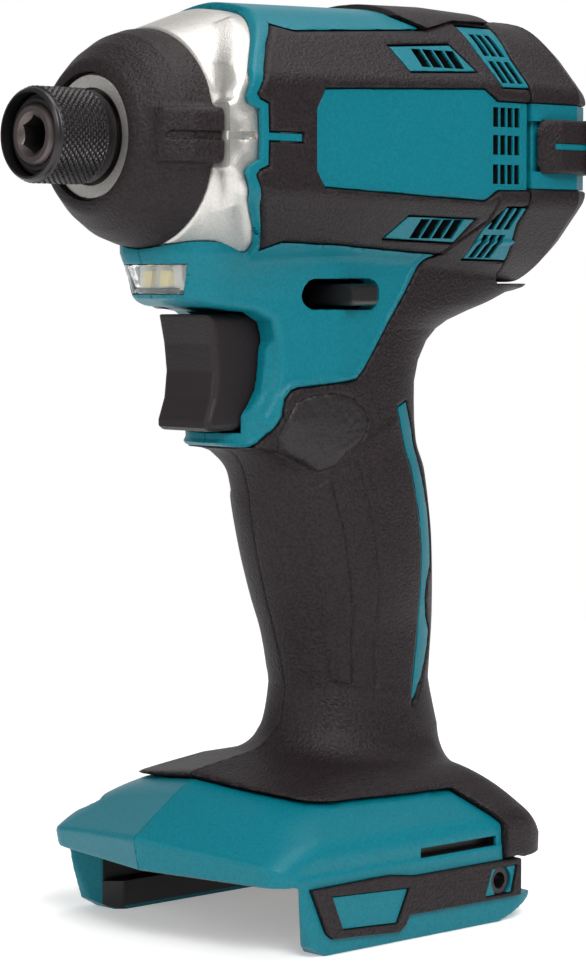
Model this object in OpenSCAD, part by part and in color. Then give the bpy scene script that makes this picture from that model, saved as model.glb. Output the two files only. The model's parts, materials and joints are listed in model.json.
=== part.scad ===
// Cordless impact driver without its battery: pistol-grip body, motor, gear train, impact
// mechanism and bit holder, as separate pieces in one frame.
// X points out of the bit holder, Y to the tool's left, Z up. The origin is the middle of the
// footprint, on the surface that the base stands on. All sizes are in millimetres.

/* [Overall] */
// Length from the bit sleeve to the end of the rear cover
tool_l = 137; // [134:0.5:142]
// Height of the spindle axis above the bottom of the base
axis_z = 160; // [157:0.5:166]

/* [Base] */
// Width of the base over its side strips
base_w = 73; // [70:0.5:77]
// Underside of the shelf that the battery slides under
shelf_z = 14.4; // [13.8:0.1:15.4]
// Height of the crease round the base
crease_z = 19.8; // [19:0.1:21.5]
// Height at which the handle leaves the base
base_top_z = 37; // [35:0.5:39]
// Front tip of the base, ahead of the origin
base_nose_x = 41.8; // [40:0.2:44]
// Rear end of the base, behind the origin
base_rear_x = 40.5; // [39.5:0.1:42]
// From the outside of the base to the battery rails
rail_in = 9; // [8:0.1:10]

/* [Shell] */
// Distance from the axis to the flats of the head at the seam of the rear cover
head_rear_r = 30.2; // [29.8:0.1:31]
// Taper of the flats of the head from the seam to its front
head_taper = 2.6; // [2.2:0.1:2.8]
// Half of the width of the handle at its narrowest
grip_half_w = 14; // [13.5:0.1:15.5]
// Thickness of the elastomer skins
skin_t = 1.5; // [1.2:0.1:1.8]
// Thickness of the shell from its outside to the hollow
shell_t = 4.2; // [4:0.1:4.6]
// Length of the rear cover without its bump
cover_l = 23; // [22:0.2:24]
// Height of the bump on the end of the rear cover
bump_h = 2.5; // [2:0.1:3]

/* [Bit holder] */
// Outside radius of the bit sleeve
sleeve_r = 9.4; // [9.2:0.1:10]
// Length of the bit sleeve
sleeve_l = 15.2; // [15:0.1:16]
// Travel of the bit sleeve
sleeve_travel = 3.6; // [3:0.1:4]
// Width across the flats of the hexagonal bit socket
socket_af = 6.5; // [6.4:0.02:6.6]
// Depth of the bit socket
socket_depth = 15; // [14:0.5:18]

/* [Impact mechanism] */
// Radius of the anvil's journal as a share of the radius over its lugs
journal_share = 0.448; // [0.44:0.002:0.46]
// From the outside of the hammer in to the tips of the anvil's lugs
lug_in = 4; // [3.6:0.1:4.6]
// Thickness of the anvil's lugs
lug_t = 6; // [5.6:0.1:6.2]
// From the radius of the motor can in to the outside of the hammer
hammer_in = 3.6; // [3.4:0.1:4]
// Length of the hammer without its dogs
hammer_l = 14.2; // [13.8:0.1:14.6]
// Backward travel of the hammer on the spindle
hammer_travel = 5.9; // [5.7:0.1:6.2]
// Radius of the spindle as a share of the hammer's radius
spindle_share = 0.39; // [0.38:0.005:0.4]

/* [Gears] */
// From the radius of the motor can in to the pitch line of the ring gear
ring_in = 4.6; // [4.4:0.1:5]
// Teeth on the pinion
sun_n = 12; // [12:12]
// Teeth on each planet gear
planet_n = 20; // [20:20]
// Width of the gear teeth
gear_w = 5.2; // [4.8:0.1:5.4]

/* [Motor] */
// From the flats of the head at the seam in to the motor can
can_in = 6.1; // [5.9:0.1:6.4]
// Wall of the motor can
can_t = 1.8; // [1.6:0.1:2.2]
// Thickness of the magnets
magnet_t = 4.1; // [3.6:0.1:4.4]
// Overlap of the motor can into the rear cover
can_over = 5.7; // [5.2:0.1:6.2]
// Air gap round the rotor core
air_gap = 1.2; // [1:0.1:1.4]
// Radius of the rotor shaft as a share of the pinion's pitch radius
shaft_share = 0.555; // [0.53:0.005:0.57]

/* [Controls] */
// Travel of the trigger
trigger_travel = 6.5; // [5:0.25:7]
// Half of the width of the trigger
trigger_half_w = 8; // [7.8:0.1:8.6]
// Swing of the direction lever
lever_swing = 16; // [12:0.5:17]
// Half of the height of the lamp lens
lens_half_h = 2.75; // [2.4:0.05:3]
// Radius of the tapped hole in a hook nut
nut_hole_r = 1.65; // [1.6:0.01:1.75]

/* [Fits] */
// Running gap on a radius
run_gap = 0.05; // [0.03:0.005:0.08]
// Gap between pieces that are only laid together
fit_gap = 0.15; // [0.1:0.01:0.2]
// Gap round pieces that move past one another
move_gap = 0.4; // [0.35:0.01:0.5]

/* [Hidden] */
$fn = 48;
thin = 0.06;            // thickness taken off each gear tooth for backlash
press_angle = 25;       // gear pressure angle
far = 200;              // long enough to reach past the whole tool
slice_t = 0.2;          // thickness of the slices that the shell is drawn between
coil_steps = 12;        // straight pieces in one turn of a spring

// Stations along the axis, from the front to the back
x_front = tool_l / 2;
x_nose = x_front - sleeve_l - fit_gap - 0.15;
x_step = x_nose - 13.5;
x_collar = x_nose - 20.5;
x_cone = x_nose - 31;
x_lug_f = x_nose - 15.5;
x_lug_r = x_lug_f - lug_t;
x_ham_f = x_lug_r - move_gap;
x_ham_r = x_ham_f - hammer_l;
x_case_r = x_ham_r - hammer_travel - 1;
x_flange = x_case_r - 2.5;
x_gear_f = x_flange - 2.9;
x_gear_r = x_gear_f - gear_w;
x_hub = x_gear_r - 2.9;
x_hub_r = x_hub - 5.6;
x_web = x_hub_r - 2.6;
x_box_r = x_web - 5.2;
x_fan_r = x_box_r - 6.6;
x_can_f = x_fan_r - 1.2;
x_end = -tool_l / 2 + bump_h;
x_seam = x_end + cover_l;
x_can_r = x_seam - can_over;
x_brg_r = x_end + 3;
x_brg_f = x_brg_r + 4;

// Radii inside the head
head_front_r = head_rear_r - head_taper;
can_r = head_rear_r - can_in;
core_gap_r = can_r - can_t - magnet_t;
core_r = core_gap_r - air_gap;
hammer_r = can_r - hammer_in;
lug_r = hammer_r - lug_in;
lug_half_w = lug_r * 0.364;
journal_r = lug_r * journal_share;
spindle_r = hammer_r * spindle_share;
spring_room_r = hammer_r - 3.5;
cam_ball_r = spindle_r * 0.2875;
dog_r = spindle_r * 1.4;
ring_n = sun_n + 2 * planet_n;
ring_r = can_r - ring_in;
gear_m = 2 * ring_r / ring_n;
sun_r = gear_m * sun_n / 2;
planet_r = gear_m * planet_n / 2;
shaft_r = sun_r * shaft_share;
carrier_r = ring_r - gear_m - 1.2;
pin_r = 2.5;
pin_at = sun_r + planet_r;
ring_out_r = ring_r + 3.5;
bore_r = can_r + 0.2;
box_r = bore_r - fit_gap;

case_step_r = head_front_r - 5.8;
nose_r = case_step_r * 0.569;
case_rear_r = head_front_r + 0.1;
case_land_r = case_step_r - 2.4;
pad_y = case_step_r + 3.6;
pad_half_h = 6;
bush_r = journal_r + 2.1;
fan_r = can_r - 3.6;
brush_r = can_r - 4.9;
cover_mid_r = head_rear_r - 5.8;
cover_end_r = head_rear_r - 16.2;
hub_r = 8.5;
spindle_brg_r = 13;
rotor_brg_r = 8;
tail_brg_r = 6.5;
hub_bore_r = sun_r + gear_m + 0.5;

// Heights of the shell that go with the axis and the hammer case
lens_z = axis_z - case_step_r - 5.5;
lens_dz = lens_z - axis_z;
grip_top_z = lens_z - 34.7;
lever_z = lens_z - 3.5;
lever_h = 4.4;
lens_mid_x = x_nose - 26.5;
lens_r = 13.8;
lens_half_w = 9.8;
lens_t = 2.4;
chin_r = lens_r + 0.2;
trigger_z = lens_z - 19.3;
trigger_h = 23.8;
neck_half_w = 17.3;
base_half_w = base_w / 2;
strip_out = 1;
wall_half_w = base_half_w - strip_out;
rail_half_w = base_half_w - rail_in;
slot_half_w = rail_half_w + 3;
rail_z = 6;
slot_rear_x = -31;
hook_x = -25.9;
hook_z = 8.7;
nut_r = 2.9;
pivot_x = -20;
lever_half_w = neck_half_w + 0.2;
screw_r = 1.9;
head_r = 3.3;
cover_screw_y = head_rear_r - 5.2;
cover_screw_h = 11.7;
block_h = 2.4;
wing_h = 1.3;
wing_z = 25;

teal = [0.0, 0.45, 0.5];
dark = [0.13, 0.11, 0.11];
alloy = [0.72, 0.71, 0.69];
steel = [0.5, 0.5, 0.52];
black = [0.08, 0.08, 0.08];
copper = [0.72, 0.42, 0.25];
brass = [0.8, 0.66, 0.3];

// Places its children with their own Z along the tool's axis, starting at x
module at_axis(x) {
    translate([x, 0, axis_z])
        rotate([0, 90, 0])
            children();
}

// Round bar or tube on the axis, from x0 forward to x1
module ring(x0, x1, r_out, r_in) {
    at_axis(x0)
        difference() {
            cylinder(h = x1 - x0, r = r_out);
            translate([0, 0, -1])
                cylinder(h = x1 - x0 + 2, r = r_in);
        }
}

// Plain round bar on the axis, from x0 forward to x1
module bar(x0, x1, r) {
    at_axis(x0)
        cylinder(h = x1 - x0, r = r);
}

// Solid turned round the axis from points given as [radius, x]
module turned(points) {
    at_axis(0)
        rotate_extrude()
            polygon(points);
}

// Side-view outline in [x, z], run across the tool from y0 to y1
module across(points, y0, y1) {
    translate([0, y1, 0])
        rotate([90, 0, 0])
            linear_extrude(height = y1 - y0)
                polygon(points);
}

// Half of space on one side of the middle plane; side is 1 for left and -1 for right
module half_space(side) {
    translate([-far, side > 0 ? 0 : -far, -far])
        cube([2 * far, far, 3 * far]);
}

// Round tube of wire along a path of points
function unit(v) = v / norm(v);
function along(p, i) = unit(p[min(i + 1, len(p) - 1)] - p[max(i - 1, 0)]);
module wire(p, r, sides, ref) {
    n = len(p);
    rings = [for (i = [0:n - 1])
        let (t = along(p, i), u = unit(cross(t, ref)), v = cross(t, u))
        for (k = [0:sides - 1])
            p[i] + r * (cos(360 * k / sides) * u + sin(360 * k / sides) * v)];
    walls = [for (i = [0:n - 2], k = [0:sides - 1])
        let (a = i * sides + k, b = i * sides + (k + 1) % sides)
        each [[a, b + sides, b], [a, a + sides, b + sides]]];
    first = [[for (k = [0:sides - 1]) k]];
    last = [[for (k = [sides - 1:-1:0]) (n - 1) * sides + k]];
    polyhedron(points = rings, faces = concat(walls, first, last));
}

// Coil spring of wire d along X round a line at height z
function coil_pitch(x0, x1, d, turns) = (x1 - x0 - d) / turns;
function coil(x0, x1, r, d, turns, z) =
    let (n = ceil(turns * coil_steps))
    [for (i = [0:n])
        let (a = 360 * turns * i / n)
        [x0 + d / 2 + coil_pitch(x0, x1, d, turns) * turns * i / n, r * cos(a), z + r * sin(a)]];
module coil_spring(name, x0, x1, r, d, turns, z) {
    echo(name, least_self_gap = coil_pitch(x0, x1, d, turns) - d);
    wire(coil(x0, x1, r, d, turns, z), d / 2, 6, [1, 0, 0]);
}

// Smooth path through a few points
function curve_at(p, i, t) =
    let (a = p[max(i - 1, 0)], b = p[i], c = p[i + 1], e = p[min(i + 2, len(p) - 1)])
    0.5 * (2 * b + (c - a) * t + (2 * a - 5 * b + 4 * c - e) * t * t
        + (3 * b - a - 3 * c + e) * t * t * t);
function curve(p, steps) = concat(
    [for (i = [0:len(p) - 2], k = [0:steps - 1]) curve_at(p, i, k / steps)], [p[len(p) - 1]]);

// Outline of a gear with involute flanks
function roll(b, r) = r <= b ? 0 : tan(acos(b / r)) * 180 / PI - acos(b / r);
function gear_outline(n, add, ded, less) =
    let (p = gear_m * n / 2, b = p * cos(press_angle),
        lo = p - ded, hi = p + add, base = max(lo, b),
        half = 90 / n - less / p * 90 / PI + roll(b, p),
        radii = [lo, base, base + (hi - base) * 0.33, base + (hi - base) * 0.66, hi])
    [for (i = [0:n - 1], s = [-1, 1], k = [0:4])
        let (r = radii[s < 0 ? k : 4 - k], a = 360 * i / n + s * (half - roll(b, r)))
        r * [cos(a), sin(a)]];

// Rounded section of the head with eight sides; r is the distance from the axis to the flats
function head_point(r, a) =
    let (q = 24, s = [for (f = [0:7])
        let (at = [0, 50, 90, 130, 180, 230, 270, 310][f]) pow(max(0, cos(a - at)), q)])
    r / pow(s[0] + s[1] + s[2] + s[3] + s[4] + s[5] + s[6] + s[7], 1 / q);
module head_slice(x, r) {
    translate([x, 0, axis_z])
        rotate([90, 0, 90])
            linear_extrude(height = slice_t)
                polygon([for (a = [0:9:351]) head_point(r, a) * [cos(a), sin(a)]]);
}
module head_solid(inset) {
    hull() {
        head_slice(x_collar + 1.5 - slice_t, head_front_r - inset);
        head_slice(x_seam, head_rear_r - inset);
    }
}

// Side view of the neck between the head and the handle, as [x, height above the lamp]
chin_x = lens_mid_x + lens_r;
neck_side = [[chin_x + 1, 13.3], [chin_x + 1, 5.2], [chin_x + 0.2, 2.8], [chin_x - 1.6, -2.8],
    [chin_x - 2.8, -4.2], [chin_x - 9.3, -5.4], [chin_x - 19, -6.6], [16.4, -8.4], [15.6, -12],
    [15.5, -29.7], [17, -31.1], [20.6, -31.9], [21.3, -32.9], [20, -34], [17, -34.6], [14, -36.7],
    [-31.2, -36.7], [-30.3, -29.7], [-30.2, -21.7], [-31.5, -17.3], [-34.4, -13.2], [-40, -9],
    [x_seam - 3, -6.9], [x_seam - 3.2, 7.3], [x_seam - 3.2, -lens_dz], [chin_x - 2, -lens_dz]];
// Rounded outline between an ellipse and a rectangle, with half sizes a and b
function round_part(t) = sign(t) * pow(abs(t), 0.92);
function rounded(a, b, turn) =
    [for (t = [0:turn:359]) [a * round_part(cos(t)), b * round_part(sin(t))]];
module neck_plan(z, w, chin, rear) {
    translate([0, 0, z])
        linear_extrude(height = slice_t)
            hull() {
                translate([lens_mid_x, 0])
                    circle(r = chin);
                translate([rear + 26, 0])
                    polygon(rounded(26, w, 12));
            }
}
module neck_solid(inset) {
    intersection() {
        translate([0, far / 2, lens_z])
            rotate([90, 0, 0])
                linear_extrude(height = far)
                    offset(delta = -inset)
                        polygon(neck_side);
        hull() {
            neck_plan(grip_top_z - 3, neck_half_w - 0.7 - inset, chin_r - inset, -31.2 + inset);
            neck_plan(lens_z - 13.2, neck_half_w - 0.4 - inset, chin_r - inset, -35 + inset);
            neck_plan(axis_z, neck_half_w + 0.4 - inset, chin_r - inset, x_seam - 4 + inset);
        }
    }
}

// Rings of the handle as [share of its height, front, rear, half width more than the narrowest]
grip_rings = [[0, 3.4, -37.2, 1.4], [0.07, 1.3, -35.8, 0.3], [0.2, 1, -35.5, 0.2],
    [0.3, 2, -36.2, 0], [0.39, 3.7, -36.8, 0.3], [0.5, 5.9, -36.5, 1.3], [0.6, 7.8, -36.1, 2],
    [0.74, 9.9, -35.4, 2.5], [0.86, 11.4, -34.2, 2.7], [0.93, 13.4, -32.8, 2.7], [1, 17, -31.2, 2.8]];
module grip_slice(q, inset, drop) {
    mid = (q[1] + q[2]) / 2;
    rx = (q[1] - q[2]) / 2 - inset;
    ry = grip_half_w + q[3] - inset;
    translate([mid, 0, base_top_z - 1 + q[0] * (grip_top_z - base_top_z + 1) - drop])
        linear_extrude(height = slice_t)
            polygon(rounded(rx, ry, 15));
}
module grip_solid(inset) {
    for (i = [0:len(grip_rings) - 2])
        hull() {
            grip_slice(grip_rings[i], inset, 0);
            grip_slice(grip_rings[i + 1], inset, slice_t);
        }
}

// Outline of the base seen from above, out to half width w
function base_plan(w, nose, rear) = [[nose, 0], [nose - 5.4, w - 5.8], [nose - 9.5, w - 1.3],
    [nose - 13, w], [-30, w], [-36, w - 3], [-rear + 1, w - 9], [-rear, w - 17],
    [-rear, 17 - w], [-rear + 1, 9 - w], [-36, 3 - w], [-30, -w], [nose - 13, -w],
    [nose - 9.5, 1.3 - w], [nose - 5.4, 5.8 - w]];
module base_slice(z, w, nose, rear) {
    translate([0, 0, z])
        linear_extrude(height = slice_t)
            polygon(base_plan(w, nose, rear));
}
module base_solid(inset) {
    w = wall_half_w - inset;
    hull() {
        base_slice(shelf_z, w - 0.6, base_nose_x - 0.8 - inset, base_rear_x - inset);
        base_slice(crease_z - inset, w, base_nose_x - inset, base_rear_x - inset);
        base_slice(crease_z + 9.4 - inset, w - 11.5, base_nose_x - 14.8 - inset,
            base_rear_x - 1.5 - inset);
        grip_slice(grip_rings[0], inset, slice_t);
    }
}
module base_skirt() {
    intersection() {
        linear_extrude(height = shelf_z + 1)
            polygon(base_plan(wall_half_w, base_nose_x, base_rear_x));
        across([[-far, 3], [-34, 3], [-31, 0], [24.3, 0], [28.7, 2.2], [31, 8.9],
            [32.2, shelf_z + 1], [-far, shelf_z + 1]], -far, far);
    }
}

// Space that the battery slides into
module battery_slot() {
    translate([slot_rear_x, -slot_half_w, rail_z])
        cube([far, 2 * slot_half_w, shelf_z - rail_z]);
    translate([slot_rear_x, -rail_half_w, -1])
        cube([far, 2 * rail_half_w, rail_z + 2]);
}

module shell(inset) {
    head_solid(inset);
    neck_solid(inset);
    grip_solid(inset);
    base_solid(inset);
}

// Everything inside the shell that has to stay free, with the screw posts left standing
screw_at = [[-23.5, grip_top_z + 0.3], [-26.5, 55.3], [4.6, grip_top_z - 1.2], [-27, 25], [8, 23],
    [lens_mid_x, lens_z - 3.1], [27.5, 21.4]];
module posts(r) {
    for (p = screw_at)
        translate([p[0], far, p[1]])
            rotate([90, 0, 0])
                cylinder(h = 2 * far, r = r, $fn = 16);
}
module hollow() {
    difference() {
        union() {
            neck_solid(shell_t);
            grip_solid(shell_t);
            base_solid(shell_t);
        }
        posts(3.6);
        translate([-far, -far, 0])
            cube([2 * far, 2 * far, shelf_z + 2.4]);
    }
    translate([0, 0, axis_z])
        rotate([0, 90, 0])
            cylinder(h = 4 * far, r = bore_r, center = true);
    lead_channel();
    translate([-18, -9, grip_top_z - 4])
        cube([18, 18, 8]);
}

// Passage for the motor leads under the motor can
module lead_channel() {
    translate([x_can_r - 4.6, -6, axis_z - bore_r - 2.6])
        cube([x_seam - x_can_r + 22.6, 12, 8]);
}

// Space round the hammer case and its bumper
module case_room() {
    turned([[0, x_cone - 0.01], [case_rear_r + 0.3, x_cone - 0.01], [case_step_r + 0.3, x_step],
        [case_step_r + 0.1, x_step + 1], [case_step_r - 1.1, x_nose - 7], [nose_r + 3.2, x_nose + 2],
        [0, x_nose + 2]]);
    for (s = [-1, 1])
        translate([x_collar - 0.7, s > 0 ? 10 : -pad_y - 5, axis_z - pad_half_h - 0.5])
            cube([20, pad_y - 5, 2 * pad_half_h + 1]);
}
// Front of the head shell in side view, cut back above and below the middle
module collar_cut() {
    translate([0, 0, axis_z])
        across([[x_collar + 3, 0], [x_collar + 1.6, 8], [x_cone + 7, 15.5], [x_cone + 0.5, 22],
            [x_cone - 0.6, 40], [far, 40], [far, -20], [x_cone + 4, -20], [x_cone + 7, -15.5],
            [x_collar + 1.6, -8]], -far, far);
}

module controls_room() {
    // Trigger opening
    translate([-2, -trigger_half_w - move_gap, trigger_z - trigger_h / 2 - move_gap])
        cube([40, 2 * (trigger_half_w + move_gap), trigger_h + 2 * move_gap]);
    // Slots for the direction lever
    for (x = [-5.6, 8.6])
        translate([x, far / 2, lever_z])
            rotate([90, 0, 0])
                cylinder(h = far, r = lever_h / 2 + 0.8, $fn = 16);
    translate([-5.6, -far / 2, lever_z - lever_h / 2 - 0.8])
        cube([14.2, far, lever_h + 1.6]);
    // Lamp window
    lamp_room(fit_gap);
    translate([x_board - 1.4, -board_half_w - move_gap, lens_z - lens_half_h - fit_gap])
        cube([lens_mid_x + lens_r - lens_t - x_board + 2, 2 * (board_half_w + move_gap),
            2 * (lens_half_h + fit_gap)]);
    // Passage for the terminal block through the shelf
    translate([-21 - move_gap, -21 - move_gap, shelf_z - 1])
        cube([22 + 2 * move_gap, 42 + 2 * move_gap, 6]);
    // Seats of the hook nuts
    for (s = [-1, 1])
        translate([hook_x, s * (slot_half_w - 1), hook_z])
            rotate([-90 * s, 0, 0])
                cylinder(h = base_half_w - slot_half_w + 2, r = nut_r + run_gap, $fn = 24);
}

module lamp_room(gap) {
    intersection() {
        translate([lens_mid_x, 0, lens_z - lens_half_h - gap])
            difference() {
                cylinder(h = 2 * (lens_half_h + gap), r = lens_r + 3, $fn = 48);
                translate([0, 0, -1])
                    cylinder(h = 10, r = lens_r - lens_t - gap, $fn = 48);
            }
        translate([lens_mid_x + 3.5, -lens_half_w - gap, 0])
            cube([30, 2 * (lens_half_w + gap), far]);
    }
}

// Vent slots in the rear of the head and in the pods ahead of them
module vents() {
    for (s = [-1, 1]) {
        for (row = [-1, 0, 1], k = [0:3])
            translate([x_seam + 4.4 + 2.2 * k, s > 0 ? 20 : -40, axis_z + 6.1 * row - 2])
                cube([1.3, 20, 4]);
        for (up = [-1, 1], k = [0:3])
            translate([-24.5 + 4 * k, s > 0 ? 12 : -42, axis_z + 18.3 * up - 1.8])
                cube([3.2, 30, 3.6]);
    }
}

// Regions of the elastomer skins in side view
grip_region = [[-22.2, lens_z + 2.3], [-6.2, lens_z - 18.6], [-3, lens_z - 20.4], [13.6, lens_z - 21.6],
    [14.6, lens_z - 23.7], [15.3, lens_z - 32.1], [16.3, lens_z - 34.45], [60, lens_z - 34.45], [60, 33],
    [27.2, crease_z + 12], [25, crease_z + 10.3], [18.7, crease_z + 9.1], [-21.7, crease_z + 8.35],
    [-27.6, crease_z + 0.7], [-33, 13], [-35, 3], [-60, 3], [-60, lens_z + 2.3]];
panel_low = lens_dz + 3.9;
panel_region = [[x_collar - 2.5, -6], [x_collar, -8.5], [27, -22], [25, panel_low], [-20, panel_low],
    [x_seam - 1, panel_low], [x_seam - 1, -8.5], [-28.5, -8.5], [-25, -11.8], [19, -9.5],
    [21, -7.5], [21, 7.5], [19, 9.5], [-25, 11.5], [-28.5, 8.5], [x_seam - 1, 8.5],
    [x_seam - 1, 40], [-21.5, 40], [-19, 22], [27, 22], [x_collar, 8.5], [x_collar - 2.5, 6]];
module region_grip() {
    across(grip_region, -far, far);
}
module region_panel() {
    translate([0, 0, axis_z])
        across(panel_region, -far, far);
}
strip_side = [[27.9, 13.6], [23.8, 4.6], [22, 3.3], [3.8, 2.2], [2, 3.4], [1, 5.2], [-31.6, 5],
    [-31.6, 12.8], [-1, 12.8], [6, 13.8]];
module strip_room() {
    for (s = [-1, 1])
        translate([0, s > 0 ? wall_half_w - strip_out : -far, 0])
            across(strip_side, 0, far - wall_half_w + strip_out);
}

// Screw seats, open to the right-hand side of the tool
module screw_room(clear) {
    for (p = screw_at)
        translate([p[0], 0, p[1]])
            rotate([90, 0, 0]) {
                translate([0, 0, -9])
                    cylinder(h = 20, r = screw_r + clear, $fn = 16);
                translate([0, 0, 8])
                    cylinder(h = far, r = head_r + clear, $fn = 16);
            }
}
module cover_screw_room(clear) {
    for (s = [-1, 1])
        translate([0, -cover_screw_y, axis_z + cover_screw_h * s])
            rotate([0, 90, 0]) {
                translate([0, 0, x_end + 4])
                    cylinder(h = cover_l + 10, r = 1.5 + clear, $fn = 16);
                translate([0, 0, x_end - 10])
                    cylinder(h = 18, r = 2.8 + clear, $fn = 16);
            }
}

module housing(side) {
    intersection() {
        difference() {
            union() {
                shell(0);
                base_skirt();
            }
            difference() {
                union() {
                    region_grip();
                    region_panel();
                }
                shell(skin_t);
                base_skirt();
            }
            strip_room();
            hollow();
            case_room();
            collar_cut();
            battery_slot();
            controls_room();
            vents();
            screw_room(fit_gap);
            cover_screw_room(fit_gap);
            translate([x_seam - far, -far, axis_z - head_rear_r - move_gap])
                cube([far, 2 * far, far]);
        }
        half_space(side);
    }
}
// Raised rear part of a side panel, beside the top of the head
module wing() {
    intersection() {
        difference() {
            head_solid(-wing_h);
            head_solid(skin_t / 4);
        }
        translate([-far, -far, axis_z + wing_z])
            cube([2 * far, 2 * far, far]);
    }
}
module skin(side, grip) {
    intersection() {
        difference() {
            union() {
                shell(0);
                if (!grip) wing();
            }
            shell(skin_t);
            hollow();
            case_room();
            collar_cut();
            controls_room();
            vents();
            screw_room(fit_gap);
            base_skirt();
            translate([x_seam - far, -far, axis_z - head_rear_r - move_gap])
                cube([far, 2 * far, far]);
        }
        if (grip) region_grip();
        else region_panel();
        half_space(side);
    }
}
module strip(side) {
    difference() {
        translate([0, side > 0 ? wall_half_w - strip_out : -base_half_w, 0])
            across(strip_side, 0, 2 * strip_out);
        translate([0, side > 0 ? wall_half_w - 3 : -wall_half_w - 3, 0])
            across([[22.6, 11.8], [19.6, 4.8], [4.6, 4], [1.2, 10.8]], 0, 6);
        translate([0, side > 0 ? wall_half_w - 3 : -wall_half_w - 3, 0])
            across([[-23, 11.6], [-20.8, 5.8], [-28.9, 5.8], [-30.4, 11.6]], 0, 6);
    }
}

module housing_left() { color(teal) housing(1); }
module housing_right() { color(teal) housing(-1); }
module grip_left() { color(dark) skin(1, true); }
module grip_right() { color(dark) skin(-1, true); }
module side_panel_left() { color(dark) skin(1, false); }
module side_panel_right() { color(dark) skin(-1, false); }
module base_strip_left() { color(dark) strip(1); }
module base_strip_right() { color(dark) strip(-1); }

// Rear cover: hard core, with an elastomer bumper round it
module cover_solid(inset) {
    hull() {
        head_slice(x_seam - 0.4 - slice_t, head_rear_r - inset);
        head_slice(x_end + cover_l * 0.48, head_rear_r - 0.4 - inset);
    }
    hull() {
        head_slice(x_end + cover_l * 0.48 - slice_t, head_rear_r - 0.4 - inset);
        head_slice(x_end + 6, cover_mid_r - inset);
    }
    hull() {
        head_slice(x_end + 6 - slice_t, cover_mid_r - inset);
        head_slice(x_end + inset, cover_end_r - inset / 2);
    }
}
module cover_hollow() {
    turned([[0, x_seam + 1], [bore_r + 0.6, x_seam + 1], [bore_r + 0.6, x_seam - 10],
        [brush_r, x_end + 7], [cover_end_r - 2, x_end + 2.6], [0, x_end + 2.6]]);
    lead_channel();
}
module cover_band() {
    for (y = [12, -12 - far])
        translate([-far, y, axis_z - 8.4])
            cube([far, far, 16.8]);
}
module rear_cover() {
    color(teal) {
        difference() {
            union() {
                cover_solid(skin_t);
                intersection() {
                    cover_solid(0.3);
                    cover_band();
                }
            }
            cover_hollow();
            cover_screw_room(fit_gap);
        }
        ring(x_end + 2.4, x_brg_f, tail_brg_r + 2, tail_brg_r + run_gap / 2);
    }
}
module rear_bumper() {
    color(dark) {
        difference() {
            cover_solid(0);
            cover_solid(skin_t);
            cover_band();
            cover_hollow();
            cover_screw_room(fit_gap);
        }
        difference() {
            intersection() {
                translate([x_end - bump_h, -far, axis_z - 6])
                    cube([cover_l + bump_h - 2.5, 2 * far, 12]);
                union() {
                    cover_solid(-block_h);
                    hull() {
                        head_slice(x_end + 5, cover_mid_r + block_h - 0.6);
                        head_slice(x_end - bump_h, cover_end_r + 1);
                    }
                }
            }
            cover_solid(0.3);
            cover_hollow();
        }
    }
}

module hammer_case() {
    color(alloy)
        difference() {
            union() {
                turned([[0, x_nose], [nose_r - 0.6, x_nose], [nose_r, x_nose - 0.6],
                    [nose_r, x_nose - 3.2], [case_land_r, x_step], [case_step_r, x_step],
                    [case_rear_r, x_cone], [box_r, x_cone], [box_r, x_case_r], [0, x_case_r]]);
                for (s = [-1, 1])
                    translate([x_collar - 0.4, s > 0 ? pad_y - 5.6 : -pad_y, axis_z - pad_half_h])
                        cube([x_step - x_collar + 0.4, 5.6, 2 * pad_half_h]);
            }
            turned([[0, x_nose + 1], [bush_r, x_nose + 1], [bush_r, x_lug_f + 0.4],
                [lug_r + 1.2, x_lug_f + 0.4], [hammer_r + 1.2, x_lug_f - 4],
                [hammer_r + 1.2, x_case_r - 1], [0, x_case_r - 1]]);
        }
}
module case_bumper() {
    color(dark)
        difference() {
            union() {
                turned([[0, x_nose + 0.6], [nose_r + 1.2, x_nose + 1], [nose_r + 2.3, x_nose + 0.7],
                    [nose_r + 2.8, x_nose], [case_step_r - 3.8, x_nose - 3.6],
                    [case_step_r - 1.5, x_nose - 7.2], [case_step_r - 0.5, x_nose - 10.5],
                    [case_step_r - 0.1, x_step + fit_gap], [0, x_step + fit_gap]]);
                for (s = [-1, 1])
                    translate([0, 0, axis_z])
                        rotate([s > 0 ? 0 : 180, 0, 0])
                            translate([0, 0, -5.4])
                                linear_extrude(height = 10.8)
                                    polygon([[x_step + fit_gap, 10], [x_nose - 2.2, 10],
                                        [x_nose - 2.2, case_step_r - 3.8],
                                        [x_nose - 7.2, case_step_r + 0.2],
                                        [x_step + fit_gap, case_step_r + 1.6]]);
            }
            turned([[0, x_nose + 2], [nose_r + fit_gap, x_nose + 2], [nose_r + fit_gap, x_nose - 3.2],
                [case_land_r + fit_gap, x_step], [case_land_r + fit_gap, x_step - 2], [0, x_step - 2]]);
        }
}

// Bit holder
x_ball = x_nose + 4;
x_washer = x_front - 3.4;
x_land_f = x_washer - sleeve_travel - 3.1;
x_land_r = x_land_f - 2.4;
module bit_sleeve() {
    color(steel)
        turned([[sleeve_r - 0.9, x_front], [sleeve_r - 0.4, x_front - 0.4], [sleeve_r - 0.4, x_front - 4],
            [sleeve_r, x_front - 4.4], [sleeve_r, x_front - 12], [sleeve_r - 0.4, x_front - 12.4],
            [sleeve_r - 0.4, x_front - sleeve_l], [7.7, x_front - sleeve_l], [7.7, x_land_r],
            [6.25 + run_gap, x_land_r], [6.25 + run_gap, x_land_f], [8.1, x_land_f], [8.1, x_front]]);
}
module sleeve_spring() {
    color(steel)
        coil_spring("sleeve_spring", x_land_f + 0.05, x_washer - 0.05, 7.2, 0.7, 4.5, axis_z);
}
module sleeve_washer() {
    color(steel) ring(x_washer, x_washer + 0.8, 7.7, 6.2 + run_gap);
}
module snap_ring() {
    color(steel) ring(x_washer + 0.85, x_washer + 1.65, 7, 5.8);
}
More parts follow.
